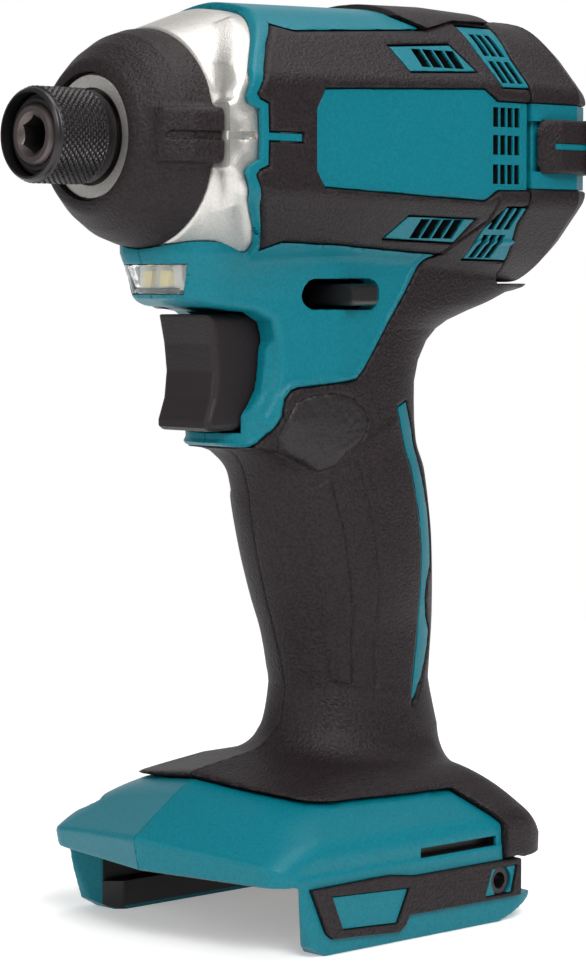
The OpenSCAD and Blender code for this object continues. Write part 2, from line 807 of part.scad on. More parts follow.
module detent_balls() {
    color(steel)
        for (s = [-1, 1])
            translate([x_ball, 0, axis_z + s * 4.5])
                sphere(r = 1.7);
}
module anvil() {
    color(steel)
        difference() {
            union() {
                turned([[0, x_front - 0.8], [5.4, x_front - 0.8], [6.2, x_front - 1.6],
                    [6.2, x_washer + 1.7], [5.75, x_washer + 1.7], [5.75, x_washer + 0.8],
                    [6.2, x_washer + 0.8], [6.2, x_nose], [journal_r, x_nose - 0.6],
                    [journal_r, x_lug_f], [bush_r - 0.5, x_lug_f], [bush_r - 0.5, x_lug_r], [0, x_lug_r]]);
                intersection() {
                    ring(x_lug_r, x_lug_f, lug_r, 6);
                    at_axis(x_lug_r)
                        translate([-lug_r, -lug_half_w, 0])
                            cube([2 * lug_r, 2 * lug_half_w, lug_t]);
                }
            }
            at_axis(x_front - 0.8 - socket_depth)
                cylinder(h = socket_depth + 1, r = socket_af / sqrt(3), $fn = 6);
            turned([[0, x_front], [socket_af / sqrt(3) + 1.4, x_front], [0, x_front - 5.2]]);
            at_axis(x_lug_r - 1)
                cylinder(h = 6.5, r = 4 + run_gap);
            translate([x_ball, 0, axis_z - 10])
                cylinder(h = 20, r = 1.78);
        }
}
module anvil_bush() {
    color(brass) ring(x_lug_f + 0.5, x_nose - 1, bush_r, journal_r + run_gap);
}

// Impact mechanism
module hammer() {
    color(steel)
        difference() {
            union() {
                turned([[0, x_ham_f], [hammer_r, x_ham_f], [hammer_r, x_ham_r], [0, x_ham_r]]);
                intersection() {
                    ring(x_ham_f - 1, x_ham_f + lug_t - 0.4, lug_r, dog_r);
                    at_axis(x_ham_f - 1)
                        translate([-lug_half_w, -lug_r, 0])
                            cube([2 * lug_half_w, 2 * lug_r, lug_t + 2]);
                }
            }
            bar(x_ham_r - 1, x_ham_f + lug_t, spindle_r + run_gap);
            bar(x_ham_r - 1, x_ham_f - 7.2, spring_room_r);
            for (s = [-1, 1])
                translate([x_ham_f - 5.2, s > 0 ? 0 : 0.3 - dog_r, axis_z - cam_ball_r - move_gap])
                    cube([8, dog_r - 0.3, 2 * (cam_ball_r + move_gap)]);
        }
}
module cam_balls() {
    color(steel)
        for (s = [-1, 1])
            translate([x_ham_f - 2.4, s * spindle_r, axis_z])
                sphere(r = cam_ball_r);
}
module main_spring() {
    color(steel)
        coil_spring("main_spring", x_flange + 1.15, x_ham_f - 7.25,
            (spindle_r + spring_room_r) / 2 + 0.7, 2, 4, axis_z);
}
module spring_washer() {
    color(steel) ring(x_flange + 0.05, x_flange + 1.1, spring_room_r - 1, spindle_r + fit_gap);
}
module spindle() {
    color(steel)
        difference() {
            union() {
                turned([[0, x_lug_r + 5], [3.4, x_lug_r + 5], [4, x_lug_r + 4.4], [4, x_lug_r - move_gap],
                    [spindle_r, x_lug_r - move_gap], [spindle_r, x_flange], [carrier_r, x_flange],
                    [carrier_r, x_gear_f + 0.2], [0, x_gear_f + 0.2]]);
                turned([[0, x_gear_r - 0.2], [carrier_r, x_gear_r - 0.2], [carrier_r, x_hub], [hub_r, x_hub],
                    [hub_r, x_hub_r], [0, x_hub_r]]);
                intersection() {
                    ring(x_gear_r - 1, x_gear_f + 1, carrier_r, hub_bore_r + 3);
                    at_axis(x_gear_r - 1)
                        translate([-carrier_r, -4.5, 0])
                            cube([2 * carrier_r, 9, gear_w + 2]);
                }
            }
            bar(x_hub_r - 1, x_gear_f + 0.4, hub_bore_r);
            for (s = [-1, 1]) {
                translate([0, s * pin_at, 0])
                    bar(x_hub - 1, x_flange + 1, pin_r);
                translate([x_ham_f - 2.4, s * spindle_r, axis_z])
                    sphere(r = cam_ball_r + run_gap);
            }
        }
}
module planet_pins() {
    color(steel)
        for (s = [-1, 1])
            translate([0, s * pin_at, 0])
                bar(x_hub, x_flange, pin_r);
}
module planet(s) {
    translate([0, s * pin_at, 0])
        at_axis(x_gear_r)
            difference() {
                linear_extrude(height = gear_w)
                    rotate(90 + 180 / planet_n)
                        polygon(gear_outline(planet_n, gear_m, 1.2 * gear_m, thin));
                translate([0, 0, -1])
                    cylinder(h = gear_w + 2, r = pin_r + run_gap);
            }
}
module planet_gear_1() { color(steel) planet(1); }
module planet_gear_2() { color(steel) planet(-1); }
module ring_gear() {
    color(steel)
        at_axis(x_gear_r - 0.6)
            difference() {
                cylinder(h = gear_w + 4, r = ring_out_r);
                translate([0, 0, -1])
                    linear_extrude(height = gear_w + 6)
                        rotate(90 + 180 / ring_n)
                            polygon(gear_outline(ring_n, 1.2 * gear_m, 0.9 * gear_m, -thin));
            }
}
module gear_housing() {
    color(black)
        turned([[ring_out_r + run_gap, x_case_r - fit_gap], [box_r, x_case_r - fit_gap],
            [box_r, x_hub + 0.2],
            [spindle_brg_r + 2.4, x_hub + 0.2 - 2], [spindle_brg_r + 2.4, x_web],
            [rotor_brg_r + 2, x_web], [rotor_brg_r + 2, x_box_r], [rotor_brg_r + run_gap / 2, x_box_r],
            [rotor_brg_r + run_gap / 2, x_web + 0.1], [hub_bore_r, x_web + 0.1],
            [hub_bore_r, x_hub_r - 0.5], [spindle_brg_r + run_gap / 2, x_hub_r - 0.5],
            [spindle_brg_r + run_gap / 2, x_hub - 0.1], [carrier_r + 0.8, x_hub - 0.1],
            [carrier_r + 0.8, x_gear_r - 0.7], [ring_out_r + run_gap, x_gear_r - 0.7]]);
}
module spindle_bearing() {
    color(steel) ring(x_hub_r + 0.2, x_hub - 0.3, spindle_brg_r, hub_r + run_gap);
}

// Motor
x_core_f = x_can_f - 4.2;
x_core_r = x_can_r + 4.2;
x_comm_f = x_can_r - 1.4;
x_comm_r = x_brg_f + 1.4;
comm_r = 8;
comm_l = x_comm_f - x_comm_r;
x_brush = x_comm_r + comm_l * 0.187;
brush_l = comm_l * 0.547;
wire_r = shaft_r + 3.5;
module pinion_gear() {
    color(steel)
        at_axis(x_gear_r - 0.3)
            difference() {
                linear_extrude(height = gear_w)
                    rotate(90)
                        polygon(gear_outline(sun_n, gear_m, 1.2 * gear_m, thin));
                translate([0, 0, -1])
                    cylinder(h = gear_w + 2, r = shaft_r);
            }
}
module rotor_shaft() {
    color(steel) bar(x_brg_r, x_gear_f - 0.3, shaft_r);
}
module rotor_core() {
    color(steel)
        difference() {
            ring(x_core_r, x_core_f, core_r, shaft_r);
            for (k = [0:9])
                at_axis(x_core_r - 1)
                    rotate(36 * k)
                        translate([core_r - 6, -1, 0])
                            cube([10, 2, x_core_f - x_core_r + 2]);
        }
}
module rotor_winding() {
    color(copper) {
        turned([[wire_r, x_core_f], [core_r - 2.5, x_core_f], [core_r - 2, x_core_f + 1.4],
            [core_r - 4, x_core_f + 3], [wire_r + 2, x_core_f + 3], [wire_r, x_core_f + 1.4]]);
        turned([[wire_r, x_core_r], [wire_r, x_core_r - 1.4], [wire_r + 2, x_core_r - 3],
            [core_r - 4, x_core_r - 3], [core_r - 2, x_core_r - 1.4], [core_r - 2.5, x_core_r]]);
    }
}
module commutator() {
    color(copper) ring(x_comm_r, x_comm_f, comm_r, shaft_r);
}
module cooling_fan() {
    color(black) {
        ring(x_fan_r, x_fan_r + 1.2, fan_r, shaft_r);
        ring(x_fan_r + 1.2, x_box_r - 0.8, 5, shaft_r);
        for (k = [0:8])
            at_axis(x_fan_r + 1.2)
                rotate(40 * k)
                    translate([9, -0.6, 0])
                        cube([fan_r - 9.5, 1.2, x_box_r - x_fan_r - 2]);
    }
}
module stator_can() {
    color(steel) ring(x_can_r, x_can_f, can_r, can_r - can_t);
}
module stator_magnets() {
    color(black)
        difference() {
            ring(x_core_r, x_core_f, can_r - can_t, core_gap_r);
            for (s = [-1, 1])
                translate([x_core_r - 1, s > 0 ? 9 : -39, axis_z - 9])
                    cube([x_core_f - x_core_r + 2, 30, 18]);
        }
}
module brush_holder() {
    color(black)
        difference() {
            ring(x_comm_r + comm_l * 0.03, x_comm_f - comm_l * 0.08, brush_r, comm_r + 1.2);
            translate([x_brush, -30, axis_z - 3])
                cube([brush_l, 60, 6]);
        }
}
module carbon_brushes() {
    color(black)
        for (s = [-1, 1])
            translate([x_brush + fit_gap, s > 0 ? comm_r + 0.4 : 1.8 - brush_r, axis_z - 3 + fit_gap])
                cube([brush_l - 2 * fit_gap, brush_r - comm_r - 2.2, 6 - 2 * fit_gap]);
}
module rotor_front_bearing() {
    color(steel) ring(x_box_r + 0.1, x_web, rotor_brg_r, shaft_r + run_gap);
}
module rotor_rear_bearing() {
    color(steel) ring(x_brg_r, x_brg_f - 0.1, tail_brg_r, shaft_r + run_gap);
}

// Controls
x_switch = 0;
x_switch_r = -21.5;
switch_half_w = 8.4;
module switch_body() {
    color(black) {
        translate([x_switch_r, -switch_half_w, trigger_z - 10])
            cube([x_switch - x_switch_r, 2 * switch_half_w, lever_z - lever_h / 2 - 0.6 - trigger_z + 10]);
        translate([pivot_x, 0, lever_z - lever_h / 2 - 1])
            cylinder(h = lever_h + 1.4, r = 2);
    }
}
module trigger() {
    color(black)
        difference() {
            union() {
                translate([0, 0, trigger_z])
                    across([[29.4, 11.9], [28, 6], [27.5, 0.5], [28.3, -4.5], [30.6, -9.7], [29.8, -11.9],
                        [19, -11.9], [14.5, -8.5], [14.5, 11.9]], -trigger_half_w, trigger_half_w);
                translate([x_switch + trigger_travel + 0.6, -trigger_half_w + 2, trigger_z - 8])
                    cube([15 - x_switch - trigger_travel, 2 * trigger_half_w - 4, 16]);
            }
            translate([x_switch, 0, trigger_z])
                rotate([0, 90, 0])
                    cylinder(h = 14.5, r = 4.4);
        }
}
module trigger_spring() {
    color(steel)
        coil_spring("trigger_spring", x_switch + 0.05, 14.45, 3.1, 0.7, 7, trigger_z);
}
module direction_lever() {
    color(black)
        translate([pivot_x, 0, lever_z - lever_h / 2])
            rotate(lever_swing / 2)
                difference() {
                    union() {
                        cylinder(h = lever_h, r = 4.5);
                        translate([0, -3, 0])
                            cube([22, 6, lever_h]);
                        translate([15, -lever_half_w, 0])
                            cube([9.5, 2 * lever_half_w, lever_h]);
                    }
                    translate([0, 0, -1])
                        cylinder(h = lever_h + 2, r = 2 + run_gap);
                }
}
module led_lens() {
    color([0.9, 0.9, 0.85])
        intersection() {
            translate([lens_mid_x, 0, lens_z - lens_half_h])
                difference() {
                    cylinder(h = 2 * lens_half_h, r = lens_r);
                    translate([0, 0, -1])
                        cylinder(h = 2 * lens_half_h + 2, r = lens_r - lens_t);
                }
            translate([lens_mid_x + 3.5, -lens_half_w, 0])
                cube([30, 2 * lens_half_w, far]);
        }
}
board_t = 1.2;
board_half_w = lens_half_w * 0.63;
x_board = lens_mid_x + sqrt(pow(lens_r - lens_t, 2) - pow(board_half_w, 2)) - board_t - 1.3;
module led_board() {
    color([0.1, 0.4, 0.2])
        translate([x_board, -board_half_w, lens_z - 2.3])
            cube([board_t, 2 * board_half_w, 4.6]);
}
module led_chips() {
    color([0.95, 0.85, 0.3])
        for (s = [-1, 1])
            translate([x_board + board_t, s * 2.4 - 1.2, lens_z - 1.6])
                cube([1, 2.4, 3.2]);
}

// Battery terminals and fixings of the base
module terminal_block() {
    color(black)
        translate([-21, -21, shelf_z - 5])
            cube([22, 42, 9]);
}
module terminal_contacts() {
    color(brass)
        for (s = [-1, 1])
            translate([-18, s * 15 - 0.6, shelf_z - 8])
                cube([17, 1.2, 3]);
}
module hook_nuts() {
    color(brass)
        for (s = [-1, 1])
            translate([hook_x, s * (wall_half_w - 4), hook_z])
                rotate([-90 * s, 0, 0])
                    difference() {
                        cylinder(h = 4, r = nut_r);
                        translate([0, 0, -1])
                            cylinder(h = 6, r = nut_hole_r);
                    }
}
module housing_screws() {
    color(steel)
        for (p = screw_at)
            translate([p[0], 0, p[1]])
                rotate([90, 0, 0]) {
                    translate([0, 0, -8.6])
                        cylinder(h = 17, r = screw_r);
                    translate([0, 0, 8.2])
                        difference() {
                            cylinder(h = 2.4, r = head_r);
                            translate([0, 0, 0.9])
                                cylinder(h = 2, r = 1.6, $fn = 6);
                        }
                }
}
module rear_cover_screws() {
    color(steel)
        for (s = [-1, 1])
            translate([0, -cover_screw_y, axis_z + cover_screw_h * s])
                rotate([0, 90, 0]) {
                    translate([0, 0, x_end + 7.8])
                        cylinder(h = cover_l - 1, r = 1.5);
                    translate([0, 0, x_end + 6])
                        difference() {
                            cylinder(h = 1.9, r = 2.8);
                            translate([0, 0, -1])
                                cylinder(h = 2, r = 1.3, $fn = 6);
                        }
                }
}

// Leads
lead_steps = 4;
lead_sides = 6;
module motor_leads() {
    color(dark)
        for (s = [-1, 1])
            wire(curve([[x_switch_r - 0.2, 4 * s, trigger_z + 2], [x_switch_r - 2, 4 * s, trigger_z + 2.6],
                [-26, 4 * s, lens_z - 10.7], [-28.6, 4 * s, lens_z - 3.7],
                [x_seam + 9, 4 * s, axis_z - bore_r - 2.1], [x_seam + 2, 4 * s, axis_z - bore_r - 1.1],
                [x_can_r - 1, 4 * s, axis_z - bore_r - 0.7], [x_can_r - 3, 4 * s, axis_z - brush_r - 2.3],
                [x_can_r - 3, 4 * s, axis_z - brush_r - 0.1]], lead_steps), 0.8, lead_sides, [0, 1, 0]);
}
module battery_leads() {
    color(dark)
        for (s = [-1, 1])
            wire(curve([[-11, 5 * s, shelf_z + 4.2], [-11.2, 5 * s, shelf_z + 7], [-15, 5 * s, base_top_z],
                [-17, 5 * s, base_top_z + 18], [-13, 5 * s, grip_top_z - 18], [-11, 5 * s, trigger_z - 14],
                [-11, 5 * s, trigger_z - 10.4]], lead_steps), 0.9, lead_sides, [0, 1, 0]);
}
module led_lead() {
    color(dark)
        wire(curve([[x_board - 0.2, 4, lens_z], [x_board - 1.8, 4.8, lens_z + 0.5],
            [lens_mid_x + 2.5, 7.4, lens_z + 1.6], [lens_mid_x - 0.5, 8.6, lens_z + 1.5],
            [lens_mid_x - 5, 9.2, lens_z + 0.2], [8, 10, lens_z + 0.3], [-10, 10.6, lens_z + 0.5],
            [-14.5, 10.6, lens_z - 8.7], [-15, 10.2, trigger_z + 2.6],
            [-15, switch_half_w + 0.2, trigger_z + 2]], lead_steps), 0.6, lead_sides, [0.1, 0, 1]);
}

housing_left();
housing_right();
grip_left();
grip_right();
side_panel_left();
side_panel_right();
base_strip_left();
base_strip_right();
rear_cover();
rear_bumper();
hammer_case();
case_bumper();
bit_sleeve();
sleeve_spring();
detent_balls();
sleeve_washer();
snap_ring();
anvil();
anvil_bush();
hammer();
cam_balls();
main_spring();
spring_washer();
spindle();
planet_pins();
planet_gear_1();
planet_gear_2();
ring_gear();
gear_housing();
spindle_bearing();
pinion_gear();
rotor_shaft();
rotor_core();
rotor_winding();
commutator();
cooling_fan();
stator_can();
stator_magnets();
brush_holder();
carbon_brushes();
rotor_front_bearing();
rotor_rear_bearing();
switch_body();
trigger();
trigger_spring();
direction_lever();
led_lens();
led_board();
led_chips();
terminal_block();
terminal_contacts();
hook_nuts();
housing_screws();
rear_cover_screws();
motor_leads();
battery_leads();
led_lead();
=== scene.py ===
import json
import math
import bpy
import numpy as np
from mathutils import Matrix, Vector


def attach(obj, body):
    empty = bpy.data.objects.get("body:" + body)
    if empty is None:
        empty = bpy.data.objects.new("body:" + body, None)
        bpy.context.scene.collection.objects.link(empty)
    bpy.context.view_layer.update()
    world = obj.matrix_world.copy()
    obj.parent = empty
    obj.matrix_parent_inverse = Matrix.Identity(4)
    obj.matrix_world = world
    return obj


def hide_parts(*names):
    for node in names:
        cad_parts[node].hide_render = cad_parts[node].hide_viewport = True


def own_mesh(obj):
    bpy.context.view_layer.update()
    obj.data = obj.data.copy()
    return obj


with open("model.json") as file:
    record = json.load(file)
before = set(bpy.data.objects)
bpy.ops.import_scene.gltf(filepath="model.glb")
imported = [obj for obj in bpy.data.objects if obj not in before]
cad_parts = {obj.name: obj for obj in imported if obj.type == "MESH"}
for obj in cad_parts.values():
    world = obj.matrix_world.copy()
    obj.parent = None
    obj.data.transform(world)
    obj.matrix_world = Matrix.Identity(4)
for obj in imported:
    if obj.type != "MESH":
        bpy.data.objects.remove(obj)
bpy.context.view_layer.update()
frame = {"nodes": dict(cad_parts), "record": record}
MM = 0.001
AXIS = 160.0  # height of the motor's axis, mm


# Distance fields, in millimetres. Each is negative inside its shape.

def smax(a, b, k):
    """Intersection of two fields with an edge rounded over k."""
    h = np.clip(0.5 - 0.5 * (b - a) / k, 0.0, 1.0)
    return b + (a - b) * h + k * h * (1.0 - h)


def smin(a, b, k):
    """Union of two fields with a fillet over k."""
    return -smax(-a, -b, k)


class Outline:
    """Signed distance to a closed outline in a plane, kept as a fine table."""

    def __init__(self, points, step=0.2, pad=8.0):
        p = np.array(points, float)
        self.low = p.min(0) - pad
        self.step = step
        self.count = np.ceil((p.max(0) + pad - self.low) / step).astype(int) + 1
        u, v = np.meshgrid(self.low[0] + step * np.arange(self.count[0]),
                           self.low[1] + step * np.arange(self.count[1]), indexing="ij")
        best = np.full(u.shape, 1e9)
        inside = np.zeros(u.shape, bool)
        for a, b in zip(p, np.roll(p, -1, 0)):
            e = b - a
            t = np.clip(((u - a[0]) * e[0] + (v - a[1]) * e[1]) / max(e @ e, 1e-12), 0, 1)
            best = np.minimum(best, (u - a[0] - t * e[0]) ** 2 + (v - a[1] - t * e[1]) ** 2)
            if a[1] != b[1]:
                spans = (a[1] > v) != (b[1] > v)
                inside ^= spans & (u < a[0] + (v - a[1]) / (b[1] - a[1]) * e[0])
        d = np.sqrt(best)
        self.table = np.where(inside, -d, d)

    def __call__(self, u, v):
        fu = (u - self.low[0]) / self.step
        fv = (v - self.low[1]) / self.step
        cu = np.clip(fu, 0, self.count[0] - 1.001)
        cv = np.clip(fv, 0, self.count[1] - 1.001)
        i, j = cu.astype(int), cv.astype(int)
        a, b = cu - i, cv - j
        t = self.table
        d = (t[i, j] * (1 - a) * (1 - b) + t[i + 1, j] * a * (1 - b)
             + t[i, j + 1] * (1 - a) * b + t[i + 1, j + 1] * a * b)
        return d + self.step * np.hypot(fu - cu, fv - cv)


def box(x, y, z, low, high):
    """Field of an upright box."""
    d = np.maximum(low[0] - x, x - high[0])
    d = np.maximum(d, np.maximum(low[1] - y, y - high[1]))
    return np.maximum(d, np.maximum(low[2] - z, z - high[2]))


def stroke(u, v, points):
    """Distance to a line through points in a plane."""
    best = np.full(np.shape(u), 1e9)
    for a, b in zip(points[:-1], points[1:]):
        e = (b[0] - a[0], b[1] - a[1])
        t = np.clip(((u - a[0]) * e[0] + (v - a[1]) * e[1]) / (e[0] ** 2 + e[1] ** 2), 0, 1)
        best = np.minimum(best, (u - a[0] - t * e[0]) ** 2 + (v - a[1] - t * e[1]) ** 2)
    return np.sqrt(best)


def spline(t, p, q):
    """Smooth curve of q against p, at the values t."""
    m = np.gradient(q, p)
    i = np.clip(np.searchsorted(p, t) - 1, 0, len(p) - 2)
    d = p[i + 1] - p[i]
    s = (t - p[i]) / d
    return (q[i] * (1 + 2 * s) * (1 - s) ** 2 + m[i] * d * s * (1 - s) ** 2
            + q[i + 1] * s * s * (3 - 2 * s) + m[i + 1] * d * s * s * (s - 1))


# Meshes from fields

BLOCK = 6  # grid cells along a coarse block
REACH = 1.25 * 0.87 * BLOCK  # half a block's diagonal in cells, with some slack
FLAT_WEIGHT = 0.06  # pull towards the middle of a cell's crossings
PROBE = 0.03
CHUNK = 400000  # points taken at a time


def contour(field, low, high, h):
    """Points and four-sided faces of a field's zero surface, with its edges kept sharp."""
    low = np.array(low, float)
    n = np.ceil((np.array(high, float) - low) / h).astype(int) + 1
    nb = -(-n // BLOCK)
    grid = np.stack(np.meshgrid(*[np.arange(k) for k in nb], indexing="ij"), -1).reshape(-1, 3)
    mid = low + (grid + 0.5) * BLOCK * h
    coarse = sample(field, mid).reshape(nb)
    values = coarse
    wanted = np.abs(coarse) < REACH * h + 0.6
    for axis in range(3):
        values = np.repeat(values, BLOCK, axis)
        wanted = np.repeat(wanted, BLOCK, axis)
    values = values[:n[0], :n[1], :n[2]].copy()
    wanted = wanted[:n[0], :n[1], :n[2]].copy()
    for axis in range(3):
        moved = np.roll(wanted, 1, axis)
        edge = [slice(None)] * 3
        edge[axis] = 0
        moved[tuple(edge)] = False
        wanted |= moved
    at = np.argwhere(wanted)
    values[wanted] = sample(field, low + at * h)
    inside = values < 0
    cells = n - 1
    quads, owners, spots, normals = [], [], [], []
    for axis in range(3):
        first = [slice(None)] * 3
        second = [slice(None)] * 3
        first[axis], second[axis] = slice(0, -1), slice(1, None)
        cross = inside[tuple(first)] != inside[tuple(second)]
        idx = np.argwhere(cross)
        u, v = (axis + 1) % 3, (axis + 2) % 3
        keep = (idx[:, u] > 0) & (idx[:, u] < n[u] - 1) & (idx[:, v] > 0) & (idx[:, v] < n[v] - 1)
        idx = idx[keep]
        if not len(idx):
            continue
        step = np.zeros(3, int)
        step[axis] = 1
        a, b = np.zeros(len(idx)), np.ones(len(idx))
        fa, fb = values[tuple(idx.T)], values[tuple((idx + step).T)]
        start = low + idx * h
        for _ in range(3):
            t = a + (b - a) * np.clip(fa / (fa - fb), 0.04, 0.96)
            ft = sample(field, start + t[:, None] * step * h)
            same = (ft < 0) == (fa < 0)
            a, fa = np.where(same, t, a), np.where(same, ft, fa)
            b, fb = np.where(same, b, t), np.where(same, fb, ft)
        t = a + (b - a) * fa / (fa - fb)
        p = start + t[:, None] * step * h
        g = np.stack([sample(field, p + PROBE * e) - sample(field, p - PROBE * e) for e in np.eye(3)], 1)
        g /= np.maximum(np.linalg.norm(g, axis=1, keepdims=True), 1e-9)
        ring = []
        for du, dv in ((-1, -1), (0, -1), (0, 0), (-1, 0)):
            c = idx.copy()
            c[:, u] += du
            c[:, v] += dv
            ring.append(np.ravel_multi_index(c.T, cells))
        quad = np.stack(ring, 1)
        turn = ~inside[tuple(idx.T)]
        quad[turn] = quad[turn][:, ::-1]
        quads.append(quad)
        owners += ring
        spots += [p] * 4
        normals += [g] * 4
    quads = np.concatenate(quads)
    used, owner = np.unique(np.concatenate(owners), return_inverse=True)
    p, g = np.concatenate(spots), np.concatenate(normals)
    m = len(used)
    hits = np.bincount(owner, minlength=m)
    mean = np.stack([np.bincount(owner, p[:, k], m) for k in range(3)], 1) / hits[:, None]
    rel = p - mean[owner]
    away = (g * rel).sum(1)
    ata = np.zeros((m, 3, 3))
    atb = np.zeros((m, 3))
    for i in range(3):
        atb[:, i] = np.bincount(owner, g[:, i] * away, m)
        for j in range(3):
            ata[:, i, j] = np.bincount(owner, g[:, i] * g[:, j], m)
    ata += FLAT_WEIGHT * np.eye(3)
    spot = mean + np.linalg.solve(ata, atb[..., None])[..., 0]
    corner = low + np.stack(np.unravel_index(used, cells), 1) * h
    spot = np.clip(spot, corner, corner + h)
    return spot, np.searchsorted(used, quads)


def sample(field, points):
    """Field at many points, a part at a time."""
    out = np.empty(len(points))
    for k in range(0, len(points), CHUNK):
        q = points[k:k + CHUNK]
        out[k:k + CHUNK] = field(q[:, 0], q[:, 1], q[:, 2])
    return out


def make(name, points, faces, materials, body, nodes, crease=35.0):
    """Object from points in millimetres, riding on a body in place of CAD nodes."""
    mesh = bpy.data.meshes.new(name)
    points = np.asarray(points, float) * MM
    sides = faces.shape[1]
    mesh.vertices.add(len(points))
    mesh.vertices.foreach_set("co", points.ravel())
    mesh.loops.add(faces.size)
    mesh.loops.foreach_set("vertex_index", faces.ravel().astype(np.int32))
    mesh.polygons.add(len(faces))
    mesh.polygons.foreach_set("loop_start", np.arange(0, faces.size, sides, dtype=np.int32))
    mesh.polygons.foreach_set("loop_total", np.full(len(faces), sides, np.int32))
    mesh.update(calc_edges=True)
    mesh.validate()
    mesh.shade_smooth()
    mesh.set_sharp_from_angle(angle=math.radians(crease))
    for m in materials if isinstance(materials, (list, tuple)) else [materials]:
        mesh.materials.append(m)
    obj = bpy.data.objects.new(name, mesh)
    bpy.context.scene.collection.objects.link(obj)
    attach(obj, body)
    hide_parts(*nodes)
    return obj


def carve(name, field, low, high, h, materials, body, nodes, crease=35.0):
    """Object from a field inside a box of the grid, with cells of size h."""
    points, faces = contour(field, low, high, h)
    return make(name, points, faces, materials, body, nodes, crease)


# Procedural materials

BUMP_DEPTH, SPECK_SIZE, MOTTLE_SCALE = 0.3 * MM, 0.55 * MM, 60.0


def material(name, color, rough, metal=0.0, grain=0.0, grain_size=0.5, shine=0.5, clear=0.0,
             mottle=0.0, speck=0.0):
    """Plain finish with optional grain in relief, patchy gloss and small specks; sizes in mm."""
    m = bpy.data.materials.new(name)
    m.use_nodes = True
    nt = m.node_tree
    b = nt.nodes["Principled BSDF"]
    b.inputs["Base Color"].default_value = (*color, 1)
    b.inputs["Roughness"].default_value = rough
    b.inputs["Metallic"].default_value = metal
    b.inputs["Specular IOR Level"].default_value = shine
    b.inputs["Transmission Weight"].default_value = clear
    where = nt.nodes.new("ShaderNodeTexCoord")

    def noise(scale, detail):
        n = nt.nodes.new("ShaderNodeTexNoise")
        n.inputs["Scale"].default_value = scale
        n.inputs["Detail"].default_value = detail
        nt.links.new(where.outputs["Object"], n.inputs["Vector"])
        return n.outputs["Fac"]

    if grain:
        bump = nt.nodes.new("ShaderNodeBump")
        bump.inputs["Strength"].default_value = grain
        bump.inputs["Distance"].default_value = BUMP_DEPTH
        nt.links.new(noise(1 / (grain_size * MM), 2.0), bump.inputs["Height"])
        nt.links.new(bump.outputs["Normal"], b.inputs["Normal"])
    if mottle:
        ramp = nt.nodes.new("ShaderNodeMapRange")
        ramp.inputs["To Min"].default_value = rough - mottle
        ramp.inputs["To Max"].default_value = rough + mottle
        nt.links.new(noise(MOTTLE_SCALE, 4.0), ramp.inputs["Value"])
        nt.links.new(ramp.outputs["Result"], b.inputs["Roughness"])
    if speck:
        tint = nt.nodes.new("ShaderNodeMix")
        tint.data_type = "RGBA"
        tint.inputs["A"].default_value = (*[c * (1 - speck) for c in color], 1)
        tint.inputs["B"].default_value = (*[c * (1 + speck) for c in color], 1)
        level = nt.nodes.new("ShaderNodeMapRange")
        level.inputs["From Min"].default_value = 0.35
        level.inputs["From Max"].default_value = 0.65
        nt.links.new(noise(1 / SPECK_SIZE, 3.0), level.inputs["Value"])
        nt.links.new(level.outputs["Result"], tint.inputs["Factor"])
        nt.links.new(tint.outputs["Result"], b.inputs["Base Color"])
    return m


TEAL = material("body_plastic", (0.0, 0.14, 0.182), 0.42, grain=0.25, grain_size=0.4, mottle=0.06,
                shine=0.22, speck=0.1)
RUBBER = material("elastomer", (0.0115, 0.0071, 0.008), 0.52, grain=1.0, grain_size=0.6, mottle=0.08,
                  shine=0.25, speck=0.6)
PAD = material("elastomer_pad", (0.009, 0.006, 0.0065), 0.5, grain=1.0, grain_size=1.4, shine=0.4,
               speck=0.7)
ALLOY = material("cast_alloy", (0.62, 0.6, 0.57), 0.46, metal=1.0, grain=0.3, grain_size=0.35,
                 mottle=0.06, speck=0.06)
DARK_STEEL = material("dark_steel", (0.045, 0.042, 0.044), 0.36, metal=0.9, mottle=0.08)
ANVIL_STEEL = material("anvil_steel", (0.125, 0.105, 0.103), 0.42, metal=1.0, grain=0.12, grain_size=0.25)
STEEL = material("steel", (0.5, 0.5, 0.51), 0.3, metal=1.0, mottle=0.06)
LAMINATED = material("laminated_steel", (0.32, 0.32, 0.34), 0.42, metal=1.0)
MAGNET = material("magnet", (0.05, 0.05, 0.055), 0.5)
COPPER = material("copper", (0.72, 0.3, 0.14), 0.3, metal=1.0)
BRONZE = material("bush_bronze", (0.62, 0.42, 0.16), 0.35, metal=1.0)
# Real black plastic of the lever and inner parts, also used as painted shade in the vent slots and the
# battery bay.
BLACK = material("inner_plastic", (0.008, 0.008, 0.009), 0.36, grain=0.1, grain_size=0.4, shine=0.4)
TRIGGER = material("trigger_plastic", (0.013, 0.009, 0.01), 0.45, grain=0.3, grain_size=0.4, shine=0.3)
CARBON = material("carbon", (0.02, 0.02, 0.02), 0.7)
BOARD = material("board", (0.8, 0.8, 0.76), 0.5)
LEAD = material("lead", (0.02, 0.02, 0.022), 0.5)
LENS = material("lens", (0.95, 0.96, 0.95), 0.04, clear=0.95)
LAMP = material("lamp", (0.95, 0.78, 0.32), 0.4)


# Body shapes, in side view with x to the front; heights are over the floor, or over the axis for the head

FLAT_R, SLOPE_R = 27.6, 27.9  # distance of the head's flats and slopes from its axis
SLOPE_TURN, UPPER_TURN = 0.73, 1.19
HEAD_FRONT, HEAD_TAPER, TOP_TAPER = 34, 0.0338, 0.46


